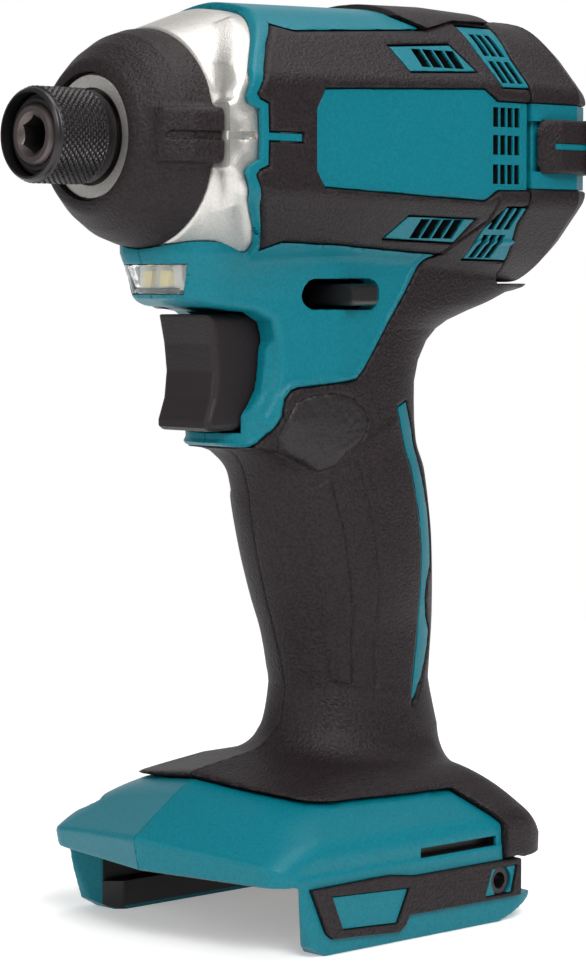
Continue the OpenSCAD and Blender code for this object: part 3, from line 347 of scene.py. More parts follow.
def facets(y, v, grow):
    """Section of the head: flat sides, two slopes and a flat top and bottom; the top tapers less."""
    u, w = np.abs(y), np.abs(v)
    flat = u - (FLAT_R + grow)
    slope = u * math.cos(SLOPE_TURN) + w * math.sin(SLOPE_TURN) - (SLOPE_R + grow)
    upper = u * math.cos(UPPER_TURN) + w * math.sin(UPPER_TURN) - (SLOPE_R + grow)
    top = w - (FLAT_R + np.where(v > 0, np.minimum(grow, TOP_TAPER * grow), grow))
    return smax(smax(flat, slope, 1.2), smax(upper, top, 3.0), 3.0)


COLLAR = Outline([(21.8, 40), (22.2, 25.5), (28.5, 18.8), (34.3, 12.6), (36.5, 7.4), (35.9, 6.0),
                  (33.2, 5.0), (33.0, 0), (33.2, -4.6), (36.1, -6.0), (36.8, -7.4), (34.4, -12.6),
                  (29.3, -17.4), (26, -21), (20, -40), (-60, -40), (-60, 40)])
SEAM = Outline([(70, 40), (-52, 40), (-42.7, 27.7), (-40.3, 18), (-40.3, -16), (-46.3, -27.8),
                (-47.2, -28.4), (-75, -28.4), (-75, -175), (70, -175)], 0.25)


def above(x, z):
    """Height over the axis, stretched where the top slopes down to the rear."""
    v = z - AXIS
    return np.where(v > 0, v * np.interp(x, [-62, -53, -30], [1.02, 1.052, 1.0]), v)


def head(x, y, z):
    """Head behind the collar's edge, narrower to the front."""
    d = facets(y, above(x, z), (HEAD_FRONT - x) * HEAD_TAPER)
    return smax(d, COLLAR(x, z - AXIS), 0.6)


NECK = Outline([(42, -12), (41.6, -21.7), (41, -24.2), (38.6, -30.1), (37.4, -31.5), (31, -32.9),
                (21, -34.2), (17, -36.2), (15.8, -40), (15.6, -46), (16.4, -50.2), (18.2, -54), (20, -57),
                (21, -59), (21.2, -59.8), (19.9, -60.7), (16.8, -61.1), (14, -63), (11, -72), (-33, -72),
                (-30.6, -61.4), (-30, -57.2), (-29.8, -53), (-29.8, -49), (-31.2, -44.6), (-34.1, -40.5),
                (-39.7, -36.3), (-45.4, -34.2), (-52.4, -32.1), (-57.6, -30.2), (-63, -27.8), (-63, 0),
                (36, 0)])
CHEEK_X, CHIN_X, NECK_MID = 2, 26.5, -8  # where the neck starts to narrow, to round off, and to curve back
NECK_Z = np.array([95, 98.6, 102.8, 107, 111, 115.4, 119.5, 123.7, 125.8, 127.9, 129.8, 132.2, 160])
NECK_REAR = np.array([31.4, 30.6, 30.0, 29.8, 29.8, 31.2, 34.1, 39.7, 45.4, 52.4, 57.6, 63, 63]) + NECK_MID
NECK_WIDE = [95, 110, 128, 136, 160], [16.4, 16.7, 16.9, 17.2, 17.6]
CHIN_WIDE = [120, 128.5, 132.7, 137.5, 160], [11.6, 12.2, 13.1, 14.7, 15.2]
NECK_POWER = [122, 127], [2.1, 3.0]
LIP_X, LIP_TOP = 21.3, 111
LIP_BOW = [100, 104, 108, 112], [0.032, 0.014, 0.008, -0.1]


def neck(x, y, z):
    """Neck between the handle and the head, with the chin that holds the lamp."""
    w = np.interp(z, *NECK_WIDE)
    wide = w + (np.interp(z, *CHIN_WIDE) - w) * np.clip((x - CHEEK_X) / (CHIN_X - CHEEK_X), 0, 1)
    ahead = np.hypot(np.maximum(x - CHIN_X, 0), y) - wide
    deep = np.interp(z, NECK_Z, NECK_REAR)
    n = np.interp(z, *NECK_POWER)
    back = (((np.maximum(NECK_MID - x, 0) / deep) ** n + (np.abs(y) / w) ** n) ** (1 / n) - 1) * w
    d = smax(NECK(x, z - AXIS), np.where(x > NECK_MID, ahead, back), 1.6)
    lip = x - LIP_X + np.interp(z, *LIP_BOW) * y * y
    return smax(d, np.where(z < LIP_TOP, lip, -9), 0.8)


LEDGE = Outline([(8, 118), (16, 118), (16.3, 114.7), (17.2, 110), (19.8, 106.4), (22.8, 103.8),
                 (23.7, 102.2), (23.5, 99.6), (22, 98.5), (8, 98.5)])
LEDGE_HALF_W, LEDGE_X, LEDGE_BOW = 10.4, 23.9, 0.038


def ledge(x, y, z):
    """Shelf under the trigger, with a cheek that curves up on each side."""
    plan = smax(np.abs(y) - LEDGE_HALF_W, x - LEDGE_X + LEDGE_BOW * y * y, 2.0)
    return smax(LEDGE(x, z), plan, 0.8)


GRIP_Z = np.array([20, 36, 42, 47, 53.5, 60, 66, 72.6, 79, 85, 89.3, 93.5, 98, 104, 116])
GRIP_FRONT = np.array([2.2, 2.0, 1.2, 1.2, 2.3, 4.2, 6.2, 8.1, 9.7, 10.9, 11.5, 12.8, 15.4, 14.6, 13])
GRIP_REAR = np.array([-36.6, -36.0, -35.5, -35.2, -35.9, -36.6, -36.3, -35.9, -35.5, -34.7, -33.9, -33.0,
                      -31.2, -30.2, -29.6])
GRIP_WIDE = np.array([14.6, 14.2, 14.0, 14.0, 13.9, 14.0, 15.0, 15.8, 16.1, 16.2, 16.3, 16.3, 16.3, 16.5,
                      16.8])
FINE_Z = np.linspace(20, 116, 400)
FINE_GRIP = [spline(FINE_Z, GRIP_Z, q) for q in (GRIP_FRONT, GRIP_REAR, GRIP_WIDE)]
HANDLE_LOW, HANDLE_HIGH, HANDLE_POWER = 20, 112, 2.1


def handle(x, y, z):
    """Handle with a nearly elliptical section."""
    front, rear, w = (np.interp(z, FINE_Z, q) for q in FINE_GRIP)
    rx = (front - rear) / 2
    n = HANDLE_POWER
    e = (np.abs((x - (front + rear) / 2) / rx) ** n + np.abs(y / w) ** n) ** (1 / n)
    side = (e - 1) * np.minimum(rx, w)
    return smax(smax(side, z - HANDLE_HIGH, 3), HANDLE_LOW - z, 3)


def tilted(a, b, c):
    """Plane through three points as a unit normal that points up, and its offset."""
    a, b, c = (np.array(p, float) for p in (a, b, c))
    n = np.cross(b - a, c - a)
    n /= np.linalg.norm(n) * np.sign(n[2])
    return n, n @ a


BROW, BROW_D = tilted((42.5, 0, 21.3), (37.4, 29.6, 18.6), (26.7, 0, 32.3))
LID_X = np.array([-40, -36, -28, -5, 6, 26.7, 45])
LID_Z = np.array([31.4, 31.9, 33.6, 34.8, 34.6, 31.6, 28.9])
BASE_HALF_W, BASE_FRONT, BASE_REAR, BASE_LOW = 35.5, 41.9, -40.4, 14.4
WIDEST_Z, LEAN_D, CORNER_R = 20, 38.2, 10.5


def base(x, y, z):
    """Foot above the battery bay: a front band and brow, leaning sides, a lid and a round rear."""
    u = np.abs(y)
    below = np.maximum(WIDEST_Z - z, 0)
    band = x * 0.985 + u * 0.173 - BASE_FRONT + 0.2 * below
    brow = BROW[0] * x + BROW[1] * u + BROW[2] * z - BROW_D
    wall = u - BASE_HALF_W + 0.05 * below
    lean = 0.6 * u + 0.8 * z - LEAN_D
    lid = (z - np.interp(x, LID_X, LID_Z) + 0.17 * u) / 1.03
    rear = (BASE_REAR - x + 0.45 * np.maximum(z - 17, 0)) / 1.05
    d = smax(smax(band, brow, 0.8), smax(wall, lean, 2.4), 5.0)
    d = smax(smax(d, lid, 2.0), rear, CORNER_R)
    return smax(d, BASE_LOW - z, 0.8)


SKIRT = Outline([(31.2, 16), (30.4, 12.9), (29.6, 8.9), (27.4, 2.2), (23.4, 0), (-26, 0), (-30, 1.2),
                 (-36, 3.6), (-40.4, 6.5), (-40.4, 16)])
BAY_REAR, BAY_HALF_W, RAIL_HALF_W, RAIL_Z = -31, 30.5, 27.5, 6
ENTRY_X, ENTRY_Y, ENTRY_SLOPE = 30.4, 34.9, 1.15


def skirt(x, y, z):
    """Walls of the battery bay with its rails, slanted where the battery enters."""
    u = np.abs(y)
    plan = smax(u - BASE_HALF_W, BASE_REAR - x, CORNER_R)
    d = smax(SKIRT(x, z), plan, 0.8)
    bay = np.maximum(BAY_REAR - x, np.where(z > RAIL_Z, u - BAY_HALF_W, u - RAIL_HALF_W))
    entry = (x - ENTRY_X + ENTRY_SLOPE * (ENTRY_Y - u)) / 1.52
    return smax(smax(d, -bay, 0.5), entry, 0.5)


BLEND_LOW, BLEND_SPAN = 92, 13  # heights over which the handle turns into the neck


def body(x, y, z):
    """Outside of the whole shell."""
    low = smin(handle(x, y, z), base(x, y, z), 6.0)
    high = neck(x, y, z)
    t = np.clip((z - BLEND_LOW) / BLEND_SPAN, 0, 1)
    t = t * t * (3 - 2 * t)
    d = smin(low * (1 - t) + high * t, ledge(x, y, z), 3.5)
    d = smin(d, head(x, y, z), 1.0)
    return smax(d, SEAM(x, z - AXIS), 0.6)


# Regions of the skins in side view; those of the head are measured from its axis

PANEL = Outline([(21.5, 22.4), (26.2, 18.2), (31.4, 12.4), (34.2, 7.9), (33.4, 6.9), (31.2, 6.2),
                 (31.0, 0), (31.2, -5.8), (33.6, -6.7), (34.4, -7.8), (31.8, -13), (24.5, -21.9),
                 (20.2, -20.3), (5.4, -20.8), (-24.1, -22.6), (-60, -22.6), (-60, 45), (-15.2, 45),
                 (-15.2, 26.2), (-20.3, 23.4), (16.4, 21.3)])
LABEL = Outline([(16.4, 9.6), (18.7, 5.4), (18.7, -6.4), (16.6, -9.7), (-27.6, -11.7), (-31.3, -9.5),
                 (-60, -9.0), (-60, 8.5), (-31.2, 8.8), (-27.3, 11.2)])
PODS = [Outline([(-6.6, 19.3), (-24.4, 20.4), (-27.4, 14.7), (-8.2, 13.9)]),
        Outline([(-8.6, -14.9), (-27.6, -15.3), (-25.6, -20.2), (-5.4, -19.5)])]
WINDOWS = [Outline([(-31.0, 24.9), (-60, 25), (-60, 11.8), (-32.2, 11.6), (-31.2, 18.6)]),
           Outline([(-34.5, -12.8), (-60, -12.7), (-60, -24.2), (-31.5, -23.5), (-31.6, -17.1)])]
WING = Outline([(-15.2, 45), (-15.2, 26.2), (-20.3, 23.4), (-30.0, 25.6), (-60, 26.2), (-60, 45)])
GRIP = Outline([(-27.5, 139), (-24.5, 137.6), (-21.3, 136.5), (-16.4, 129.1), (-5.1, 113.9),
                (-3.1, 112.0), (-0.7, 111.6), (11.3, 110.5), (13.0, 110.0), (14.4, 108.2), (15.1, 104.6),
                (17.4, 100.7), (18.6, 99.4), (20.2, 98.5), (60, 98.2), (60, 33), (27.2, 32.0), (24.1, 30.3),
                (19.5, 28.8), (15, 28.4), (-19.1, 27.6), (-26.7, 20.4), (-27, 13.1), (-31.9, 13.1),
                (-31.9, 5), (-70, 5), (-70, 139)])
CRESCENT = Outline([(-19.5, 107.1), (-15.7, 105.9), (-17.6, 101.2), (-20.9, 92.7), (-23.6, 83.7),
                    (-24.5, 75.8), (-24.8, 58.8), (-23.3, 51), (-21.7, 43.1), (-23.6, 45.2), (-26.7, 49.1),
                    (-29.7, 54.5), (-30.7, 58.1), (-28.6, 61.1), (-27.3, 64.9), (-27.8, 69.1), (-30, 72.1),
                    (-29.5, 83.2), (-25.6, 92.9), (-23.1, 100.9)])
RAISED = Outline([(7.3, 87), (6.9, 88), (5.1, 89.6), (-3.1, 95), (-9.2, 101.5), (-14.6, 103.6),
                  (-19.8, 92.4), (-22.5, 83.6), (-23.4, 75.8), (-23.7, 58.8), (-22.2, 51), (-20.6, 43.8),
                  (-11.3, 46.9), (-2.9, 49.8), (-2.2, 51.4), (0.3, 63), (3.7, 74.1)])
FOLDS = [[(1.8, 91.4), (-1.4, 81.7), (-3.5, 71.3), (-5.5, 62.3), (-6.4, 49)],
         [(-4, 95.3), (-7.3, 86.1), (-9.1, 78.8), (-10.8, 67.8), (-11.3, 47.4)]]
THUMB = Outline([(11.8, 107.6), (7.8, 108.9), (2.6, 109.2), (-2, 108.3), (-5.5, 105.7), (-6.5, 103.1),
                 (-5, 99.6), (-1, 97.2), (1.3, 94.1), (4.6, 93.2), (7, 94.5), (13.4, 97.6), (14.9, 100.6),
                 (14.3, 103.1)])
STRIP = Outline([(27.9, 13.6), (23.8, 4.6), (22, 3.3), (3.8, 2.2), (2, 3.4), (1, 5.2), (-31.6, 5.0),
                 (-31.6, 12.8), (-1, 12.8), (6, 13.8)])
BADGE = Outline([(22.6, 11.8), (19.6, 4.8), (4.6, 4.0), (1.2, 10.8)])
HOOK = Outline([(-23, 11.6), (-20.8, 5.8), (-28.9, 5.8), (-30.4, 11.6)])
SCREWS = [(-23.5, 98.3), (-26.5, 55.3), (4.6, 96.8), (-27, 25), (8, 23), (26.5, 129.6), (27.5, 21.4)]
SEAT_R, SHANK_R, POST_R, SEAT_Y, SHANK_END = 3.45, 2.05, 4.4, 8.0, 9.2
BAR_X, BAR_V, BAR_HALF = 22.6, -0.2, 0.9  # hard bar that runs back from the collar


def panel_region(x, z):
    """Rubber panel on the side of the head, less what shows through it."""
    v = z - AXIS
    d = np.maximum(PANEL(x, v), -LABEL(x, v))
    for part in PODS + WINDOWS:
        d = np.maximum(d, -part(x, v))
    bar = np.maximum(np.abs(v - BAR_V) - BAR_HALF, BAR_X - x)
    return np.maximum(d, -bar)


def grip_region(x, z):
    """Rubber of the grip, less the crescent and the lower window."""
    return np.maximum(np.maximum(GRIP(x, z), -CRESCENT(x, z)), -WINDOWS[1](x, z - AXIS))


def screw_field(x, z, radius):
    """Round bars on the lines of the shell's screws."""
    d = np.full(np.shape(x), 99.0)
    for at in SCREWS:
        d = np.minimum(d, np.hypot(x - at[0], z - at[1]))
    return d - radius


LAMP_Z, LAMP_HALF_H, LAMP_HALF_W, LAMP_X = 132.3, 3.0, 8.6, 30
DASH_X, DASH_Z, DASH_HALF_L, DASH_HALF_H, DASH_Y = -14.0, 17.1, 11.0, 1.0, 32.4


def lamp_region(x, y, z):
    """Window of the lamp, wider at its top."""
    up = z - LAMP_Z
    return np.maximum(np.maximum(np.abs(up) - LAMP_HALF_H, np.abs(y) - LAMP_HALF_W - 0.3 * up), LAMP_X - x)


def dash_slot(x, y, z):
    """Dark dash on each side of the foot."""
    face = np.maximum(np.abs(x - DASH_X) - DASH_HALF_L, np.abs(z - DASH_Z) - DASH_HALF_H)
    return np.maximum(face, DASH_Y - np.abs(y))


CASE_REAR, CASE_INSET, CASE_GAP, FLARE_L = 22, -1.3, 0.15, 2.6


def flare(x, y, z, gap):
    """Wide rear edge of the hammer case, which meets the collar's rim from inside."""
    v = z - AXIS
    ahead = COLLAR(x, v)
    d = smax(facets(y, v, CASE_INSET - gap), ahead - FLARE_L + gap, 3.0)
    return np.maximum(np.maximum(d, -ahead - 1.4 + gap), np.maximum(CASE_REAR - x, 12 - np.abs(y)))


TRIGGER_SLOT = (-3, -8.4, 101.5), (60, 8.4, 125.8)
LEVER_SLOT_X, LEVER_SLOT_Z, LEVER_SLOT_HALF, LEVER_SLOT_R = 0.8, 129.3, 6.9, 3.1
MOTOR_BORE_R = 24.3
CASE_ROOM = [20, 22, 39.5, 39.6, 46, 52], [27.8, 27.8, 22.0, 21.9, 20.9, 17.5]
NUT_X, NUT_Z, NUT_SEAT_R, NUT_HOLE_R, NUT_Y = -25.9, 8.7, 2.95, 2.1, 31


def openings(x, y, z):
    """Everything but the vents that is cut through the shell, as one field that is negative in the open."""
    u, v = np.abs(y), z - AXIS
    trigger = box(x, y, z, *TRIGGER_SLOT)
    along = np.maximum(np.abs(x - LEVER_SLOT_X) - LEVER_SLOT_HALF, 0)
    lever = np.maximum(np.hypot(along, z - LEVER_SLOT_Z) - LEVER_SLOT_R, 3 - u)
    lamp = lamp_region(x, y, z)
    seat = np.maximum(screw_field(x, z, SEAT_R), y + SEAT_Y)
    shank = np.maximum(screw_field(x, z, SHANK_R), y - SHANK_END)
    bore = np.maximum(np.hypot(y, v) - MOTOR_BORE_R, x - CASE_REAR)
    cone = np.hypot(y, v) - np.interp(x, *CASE_ROOM)
    case = np.minimum(np.maximum(cone, CASE_REAR - 0.1 - x), flare(x, y, z, -CASE_GAP))
    case = np.maximum(case, facets(y, v, CASE_INSET + CASE_GAP))
    d = np.minimum(np.minimum(trigger, lever), np.minimum(lamp, np.minimum(bore, case)))
    d = np.minimum(d, np.minimum(seat, shank))
    spot = np.hypot(x - NUT_X, z - NUT_Z)
    nut = np.maximum(np.maximum(spot - NUT_SEAT_R, u - 35.6), NUT_Y - u)
    nut = np.minimum(nut, np.maximum(spot - NUT_HOLE_R, NUT_Y - u))
    return np.minimum(d, np.minimum(nut, dash_slot(x, y, z)))


# Vents: heights of the rows, half height of a slot, first slot, pitch, count and half width of a slot
VENTS = [((5.6, -0.1, -6.1), 2.0, 30.6, 2.05, 4, 0.76), ((17.1, -17.4), 1.9, 13.8, 3.1, 4, 1.32),
         ((15.0, 20.8, -15.0, -20.8), 2.35, 33.6, 2.3, 3, 0.8)]
ROWS_X, ROWS_HALF_L, ROWS_HALF_H = -33.7, 4.6, 8.6
WALL, ROOM_LOW = 4.2, 18.5


def slots(x, y, z):
    """Vent slots: three rows beside the seam, and others in the pods and windows."""
    v = z - AXIS
    d = np.full(np.shape(x), 9.0)
    for rows, half_h, first, pitch, count, half_w in VENTS:
        for mid in rows:
            row = np.abs(v - mid) - half_h
            for k in range(count):
                d = np.minimum(d, np.maximum(row, np.abs(x + first + pitch * k) - half_w))
    return np.maximum(d, 13 - np.abs(y))


def vent_region(x, z):
    """Parts of the side that hold the vents, in side view."""
    v = z - AXIS
    d = np.maximum(np.abs(v) - ROWS_HALF_H, np.abs(x - ROWS_X) - ROWS_HALF_L)
    for part in PODS + WINDOWS:
        d = np.minimum(d, part(x, v) - 0.4)
    return d


def hollow(z, f):
    """Inside of the shell, from the field of its outside."""
    return np.maximum(f + WALL, ROOM_LOW - z)


SKIN_T, SKIN_BED, SKIN_GAP = 1.42, 1.5, 0.15  # depth of the skins and of their bed, and the gap round them
LABEL_SINK = 0.5
BEAD_H, BEAD_HALF_W = 0.4, 0.55
STRIP_Y, PATCH_Y, PATCH_END = 34.4, 35.3, 36.0
SEAM_R = 0.5


def shell(side):
    """Hard half of the body, with beds for the skins and the strips."""
    def field(x, y, z):
        f, u = body(x, y, z), np.abs(y)
        bead = BEAD_H * np.clip(1.3 - np.abs(GRIP(x, z) - 1.0) / BEAD_HALF_W, 0, 1) * (z > 98)
        d = smin(f - bead, skirt(x, y, z), 0.8)
        skin = np.minimum(panel_region(x, z), np.where(z > 2.5, grip_region(x, z), 9))
        d = smax(d, -np.maximum(-(f + SKIN_BED), skin - SKIN_GAP - 0.01), 0.35)
        label = np.maximum(LABEL(x, z - AXIS) + SKIN_GAP, np.maximum(18 - u, -LABEL_SINK - f))
        d = smax(d, -label, 0.3)
        d = np.maximum(d, -hollow(z, f))
        d = np.minimum(d, np.maximum(screw_field(x, z, POST_R), f + 2.0))
        d = smax(d, -openings(x, y, z), 0.4)
        d = smax(d, -slots(x, y, z), 0.15)
        bed = np.maximum(STRIP(x, z) - SKIN_GAP, STRIP_Y - u)
        patch = np.maximum(np.minimum(BADGE(x, z), HOOK(x, z)) + 0.2, u - PATCH_END)
        d = np.maximum(np.minimum(d, np.maximum(patch, PATCH_Y - u)), -np.maximum(bed, -patch))
        d = np.maximum(d, -openings(x, y, z))
        return smax(d, -side * y, SEAM_R)
    return field


SKIN_LIFT, FOOT_LIFT, WING_LIFT = 0.25, 1.25, 0.8
RELIEF, RIM_DEPTH, LINE_W = 0.3, 0.4, 0.5
FOLD_DEPTH, STEP_DEPTH = 0.7, 0.5
PANEL_FOLD = [(-23.5, -23), (-31.2, -15.6), (-31.2, -11)]
TAIL_X = -59.6


def lift(x, z):
    """Height of the skins over the hard shell."""
    foot = FOOT_LIFT * np.clip((48 - z) / 10, 0, 1)
    wing = WING_LIFT * np.clip(0.5 - WING(x, z - AXIS) / 0.8, 0, 1)
    return SKIN_LIFT + foot + wing


def trim_skin(out, f, region, seam, side, x, y, z):
    """Skin under the surface out, cut to its region and its side of the body."""
    d = smax(out, region + SKIN_GAP - 0.01, 0.9)
    d = smax(d, seam, 0.8)
    d = np.maximum(d, -(f + SKIN_T))
    d = np.maximum(d, -openings(x, y, z))
    return smax(d, -side * y, SEAM_R)


def grip_skin(side):
    """Rubber of the grip with a raised panel, fold lines and the rim of the thumb pad."""
    def field(x, y, z):
        f = body(x, y, z)
        raised = RELIEF * np.clip(0.5 - RAISED(x, z) / LINE_W, 0, 1)
        groove = np.minimum(stroke(x, z, FOLDS[0]), stroke(x, z, FOLDS[1]))
        cut = RELIEF * np.clip(1 - groove / LINE_W, 0, 1)
        rim = RIM_DEPTH * np.clip(1 - np.abs(THUMB(x, z)) / LINE_W, 0, 1)
        out = f - lift(x, z) + (cut + rim - raised) * (np.abs(y) > 6)
        seam = np.maximum(SEAM(x, z - AXIS) + SKIN_GAP, TAIL_X - x)
        return trim_skin(out, f, grip_region(x, z), seam, side, x, y, z)
    return field


def panel_skin(side):
    """Rubber panel of the head with a fold behind its lower pod and a step round its wing."""
    def field(x, y, z):
        f = np.maximum(body(x, y, z), -60 - x)
        v = z - AXIS
        cut = FOLD_DEPTH * np.clip(1 - stroke(x, v, PANEL_FOLD) / 0.6, 0, 1)
        edge = STEP_DEPTH * np.clip(1 - np.abs(WING(x, v)) / 0.4, 0, 1)
        out = f - lift(x, z) + cut + edge
        return trim_skin(out, f, panel_region(x, z), SEAM(x, v) + SKIN_GAP, side, x, y, z)
    return field


def zone(field, low, high):
    """Part of a field between two heights."""
    return lambda x, y, z: np.maximum(field(x, y, z), np.maximum(low - z, z - high))


def vent_zone(field, inside):
    """The vents of a shell, or the shell without them."""
    def cut(x, y, z):
        room = np.maximum(vent_region(x, z), 14 - np.abs(y))
        return np.maximum(field(x, y, z), room + 0.02 if inside else -room)
    return cut


def paint(obj, chosen):
    """Second material on the faces whose centres are chosen, in millimetres."""
    mids = np.empty(len(obj.data.polygons) * 3)
    obj.data.polygons.foreach_get("center", mids)
    x, y, z = mids.reshape(-1, 3).T / MM
    obj.data.polygons.foreach_set("material_index", chosen(x, y, z).astype(np.int32))


def foot_painted_shade(x, y, z):
    """Walls and ceiling of the battery bay and the floor of the dash: painted shade, the black material put
    where shade falls under the brow and in the recess.
    """
    bay = (np.abs(y) < BAY_HALF_W + 0.12) & (x > BAY_REAR - 0.3) & (z > 0.4) & (z < 14.6)
    return bay | (dash_slot(x, y, z) < 0.1) & (z > 15) & (np.abs(y) < 35)


def vents_painted_shade(x, y, z):
    """Faces deep inside the vent slots: painted shade, the black material put on teal walls where shade
    falls.
    """
    return body(x, y, z) < np.where(np.abs(z - AXIS) < 10, -0.8, -0.4)


def thumb_pad(x, y, z):
    """Coarser pad beside the trigger."""
    return (THUMB(x, z) < 0) & (np.abs(y) > 8)


GRIP_LOW, GRIP_HIGH = 34.0, 96.0  # heights at which the shell's mesh is split
for side, name in ((1, "left"), (-1, "right")):
    low_y, high_y = (-1.0, 41.0) if side > 0 else (-41.0, 1.0)
    whole, node = shell(side), ["housing_" + name]
    carve("shell_top_" + name, vent_zone(zone(whole, GRIP_HIGH, 200), False), (-65, low_y, 95),
          (45, high_y, 193), 0.52, TEAL, "body", node)
    carve("shell_grip_" + name, zone(whole, GRIP_LOW, GRIP_HIGH), (-45, low_y, 33), (32, high_y, 97),
          0.8, TEAL, "body", node)
    foot = carve("shell_base_" + name, zone(whole, -2, GRIP_LOW), (-45, low_y, -1.5), (45, high_y, 35),
                 0.5, [TEAL, BLACK], "body", node)
    # Painted shade: the battery bay and the floor of the dash get the black material.
    paint(foot, foot_painted_shade)
    vents = carve("vents_" + name, vent_zone(whole, True), (-44, min(side * 13, side * 41), 132),
                  (-4, max(side * 13, side * 41), 190), 0.3, [TEAL, BLACK], "body", node)
    # Painted shade: the deep teal walls of the vent slots get the black material.
    paint(vents, vents_painted_shade)
    grip = carve("grip_skin_" + name, grip_skin(side), (-66, low_y, 1), (30, high_y, 139), 0.55,
                 [RUBBER, PAD], "body", ["grip_" + name])
    paint(grip, thumb_pad)
    carve("panel_skin_" + name, panel_skin(side), (-50, low_y, 135), (37, high_y, 194), 0.45,
          RUBBER, "body", ["side_panel_" + name])


# Rear cover and its bumper

COVER_X = np.array([-66.0, -60.3, -55.0, -40.0])
COVER_GROW = np.array([-13.6, -0.6, 2.4, 2.5])
COVER_TILT = [-60.3, -60.2, -55, -54.9], [0.55, 0.75, 0.75, 1]
COVER_END, COVER_GAP = -66, 0.35
COVER_ROOM, COVER_FLOOR = ([-64, -59, -53, -40], [12, 19.2, 24.9, 24.9]), -63.4
BUMPER_V, BUMPER_EDGE = -0.1, 8.9  # middle of the bumper, and where its skins start above and below that
BAND_V, BAND_HALF = 7.0, 1.75
BLOCK_X, BLOCK_HALF, BLOCK_RISE = -40.9, 5.6, 2.4
RIB_X, RIB_HALF = -46.2, 0.65
COVER_SCREW_Y, COVER_SCREW_V, COVER_SCREW_X, COVER_SCREW_R = -25, 11.7, -57, 3.0


def cover(x, y, z):
    """Outside of the rear cover."""
    grow = np.interp(x, COVER_X, COVER_GROW)
    tilt = np.interp(x, *COVER_TILT)
    d = facets(y, above(x, z), grow) * tilt
    d = smax(d, COVER_END - x, 2.0)
    return smax(d, -SEAM(x, z - AXIS) + COVER_GAP, 0.6)


def cover_bands(z, y):
    """Hard stripes that show between the parts of the bumper."""
    v = np.abs(z - AXIS - BUMPER_V)
    return np.maximum(np.abs(v - BAND_V) - BAND_HALF, 8 - np.abs(y))


def block_region(x, z):
    """Raised middle block of the bumper, in side view."""
    v = np.abs(z - AXIS - BUMPER_V)
    return np.maximum(v - BLOCK_HALF, x - BLOCK_X + 0.9 * np.maximum(v - 2.2, 0))


def block_rise(x):
    """Height of the block over the cover."""
    return BLOCK_RISE * np.clip((-41.5 - x) / 6, 0, 1)


def cover_screws(x, y, z, radius):
    """Seats of the cover's screws."""
    r = np.hypot(y - COVER_SCREW_Y, np.abs(z - AXIS) - COVER_SCREW_V)
    return np.maximum(r - radius, x - COVER_SCREW_X)


def cover_core(x, y, z):
    """Hard cover with its stripes and the rib in the block's slot."""
    f = cover(x, y, z)
    v = z - AXIS
    d = np.maximum(f + 0.2, np.minimum(f + SKIN_BED, cover_bands(z, y)))
    rib = np.maximum(np.maximum(np.abs(v - BUMPER_V) - RIB_HALF, x - RIB_X), f - block_rise(x) + 0.35)
    d = np.minimum(d, rib)
    inner = np.maximum(np.hypot(y, v) - np.interp(x, *COVER_ROOM), COVER_FLOOR - x)
    return np.maximum(np.maximum(d, -inner), -cover_screws(x, y, z, COVER_SCREW_R))


def cover_bumper(x, y, z):
    """Rubber over the cover: two skins and the block between them."""
    f = cover(x, y, z)
    v = np.abs(z - AXIS - BUMPER_V)
    top = f - block_rise(x)
    block = smax(top, block_region(x, z), 1.2)
    slot = np.maximum(v - RIB_HALF - 0.1, x - RIB_X - 0.2)
    block = np.maximum(block, -np.maximum(slot, -(top + 0.9)))
    block = np.maximum(block, -(f + 0.1))
    skin = smax(f - SKIN_LIFT, BUMPER_EDGE - v, 0.9)
    skin = np.maximum(skin, -(f + SKIN_T))
    return np.maximum(np.minimum(skin, block), -cover_screws(x, y, z, COVER_SCREW_R + 0.2))


carve("cover_core", cover_core, (-70, -34, 126), (-38, 34, 194), 0.6, TEAL, "body", ["rear_cover"])
carve("cover_bumper", cover_bumper, (-71, -35, 126), (-38, 35, 194), 0.55, RUBBER, "body", ["rear_bumper"])


# Hammer case and its rubber bumper

CASE_OUT = [9, 21.9, 22, 39.5], [24.1, 24.1, 27.6, 21.8]
CASE_IN = [9, 33.5, 37.5, 37.9, 38], [21.7, 21.7, 17.7, 17.7, 9.5]
CASE_BACK, SHOULDER_X, NOSE_X = 10, 39.5, 53
NOSE_OUT = [39, 49.8, 52.4, 53], [19.3, 12.4, 12.4, 11.9]
BOOT_OUT = [39, 42.5, 45.8, 49.4, 52.2, 53.4, 54.2], [21.7, 21.3, 20.3, 18.2, 15.9, 14.9, 13.9]
BOOT_IN = [39, 39.65, 49.8, 60], [19.55, 19.55, 12.55, 12.55]
BOOT_PAD = [39, 45.8, 50.6, 52], [24.1, 22.6, 19.2, 17.6]
CASE_GROOVE, BOOT_GROOVE = [(33.9, -0.1), (42, -0.1)], [(38, -0.1), (49.3, -0.1)]


def case_shape(x, y, z):
    """Cast case with a flared rear edge and a grooved pad on each side."""
    u, v = np.abs(y), z - AXIS
    r = np.hypot(y, v)
    d = r - np.interp(x, *CASE_OUT)
    d = smax(d * 0.95, x - SHOULDER_X, 0.8)
    pad = np.maximum(smax(np.abs(v) - 6.0, u - 25.6, 1.0), np.maximum(31.6 - x, x - SHOULDER_X))
    d = smin(d, np.maximum(pad, 18 - u), 0.8)
    d = smax(smin(d, flare(x, y, z, 0.0), 2.0), facets(y, v, CASE_INSET), 0.3)
    groove = np.maximum(stroke(x, v, CASE_GROOVE) - 0.75, 24.9 - u)
    d = smax(d, -groove, 0.4)
    nose = np.maximum(r - np.interp(x, *NOSE_OUT), x - NOSE_X)
    d = np.minimum(d, np.maximum(nose, 39 - x))
    inner = r - np.interp(x, *CASE_IN)
    return np.maximum(np.maximum(d, -inner), CASE_BACK - x)


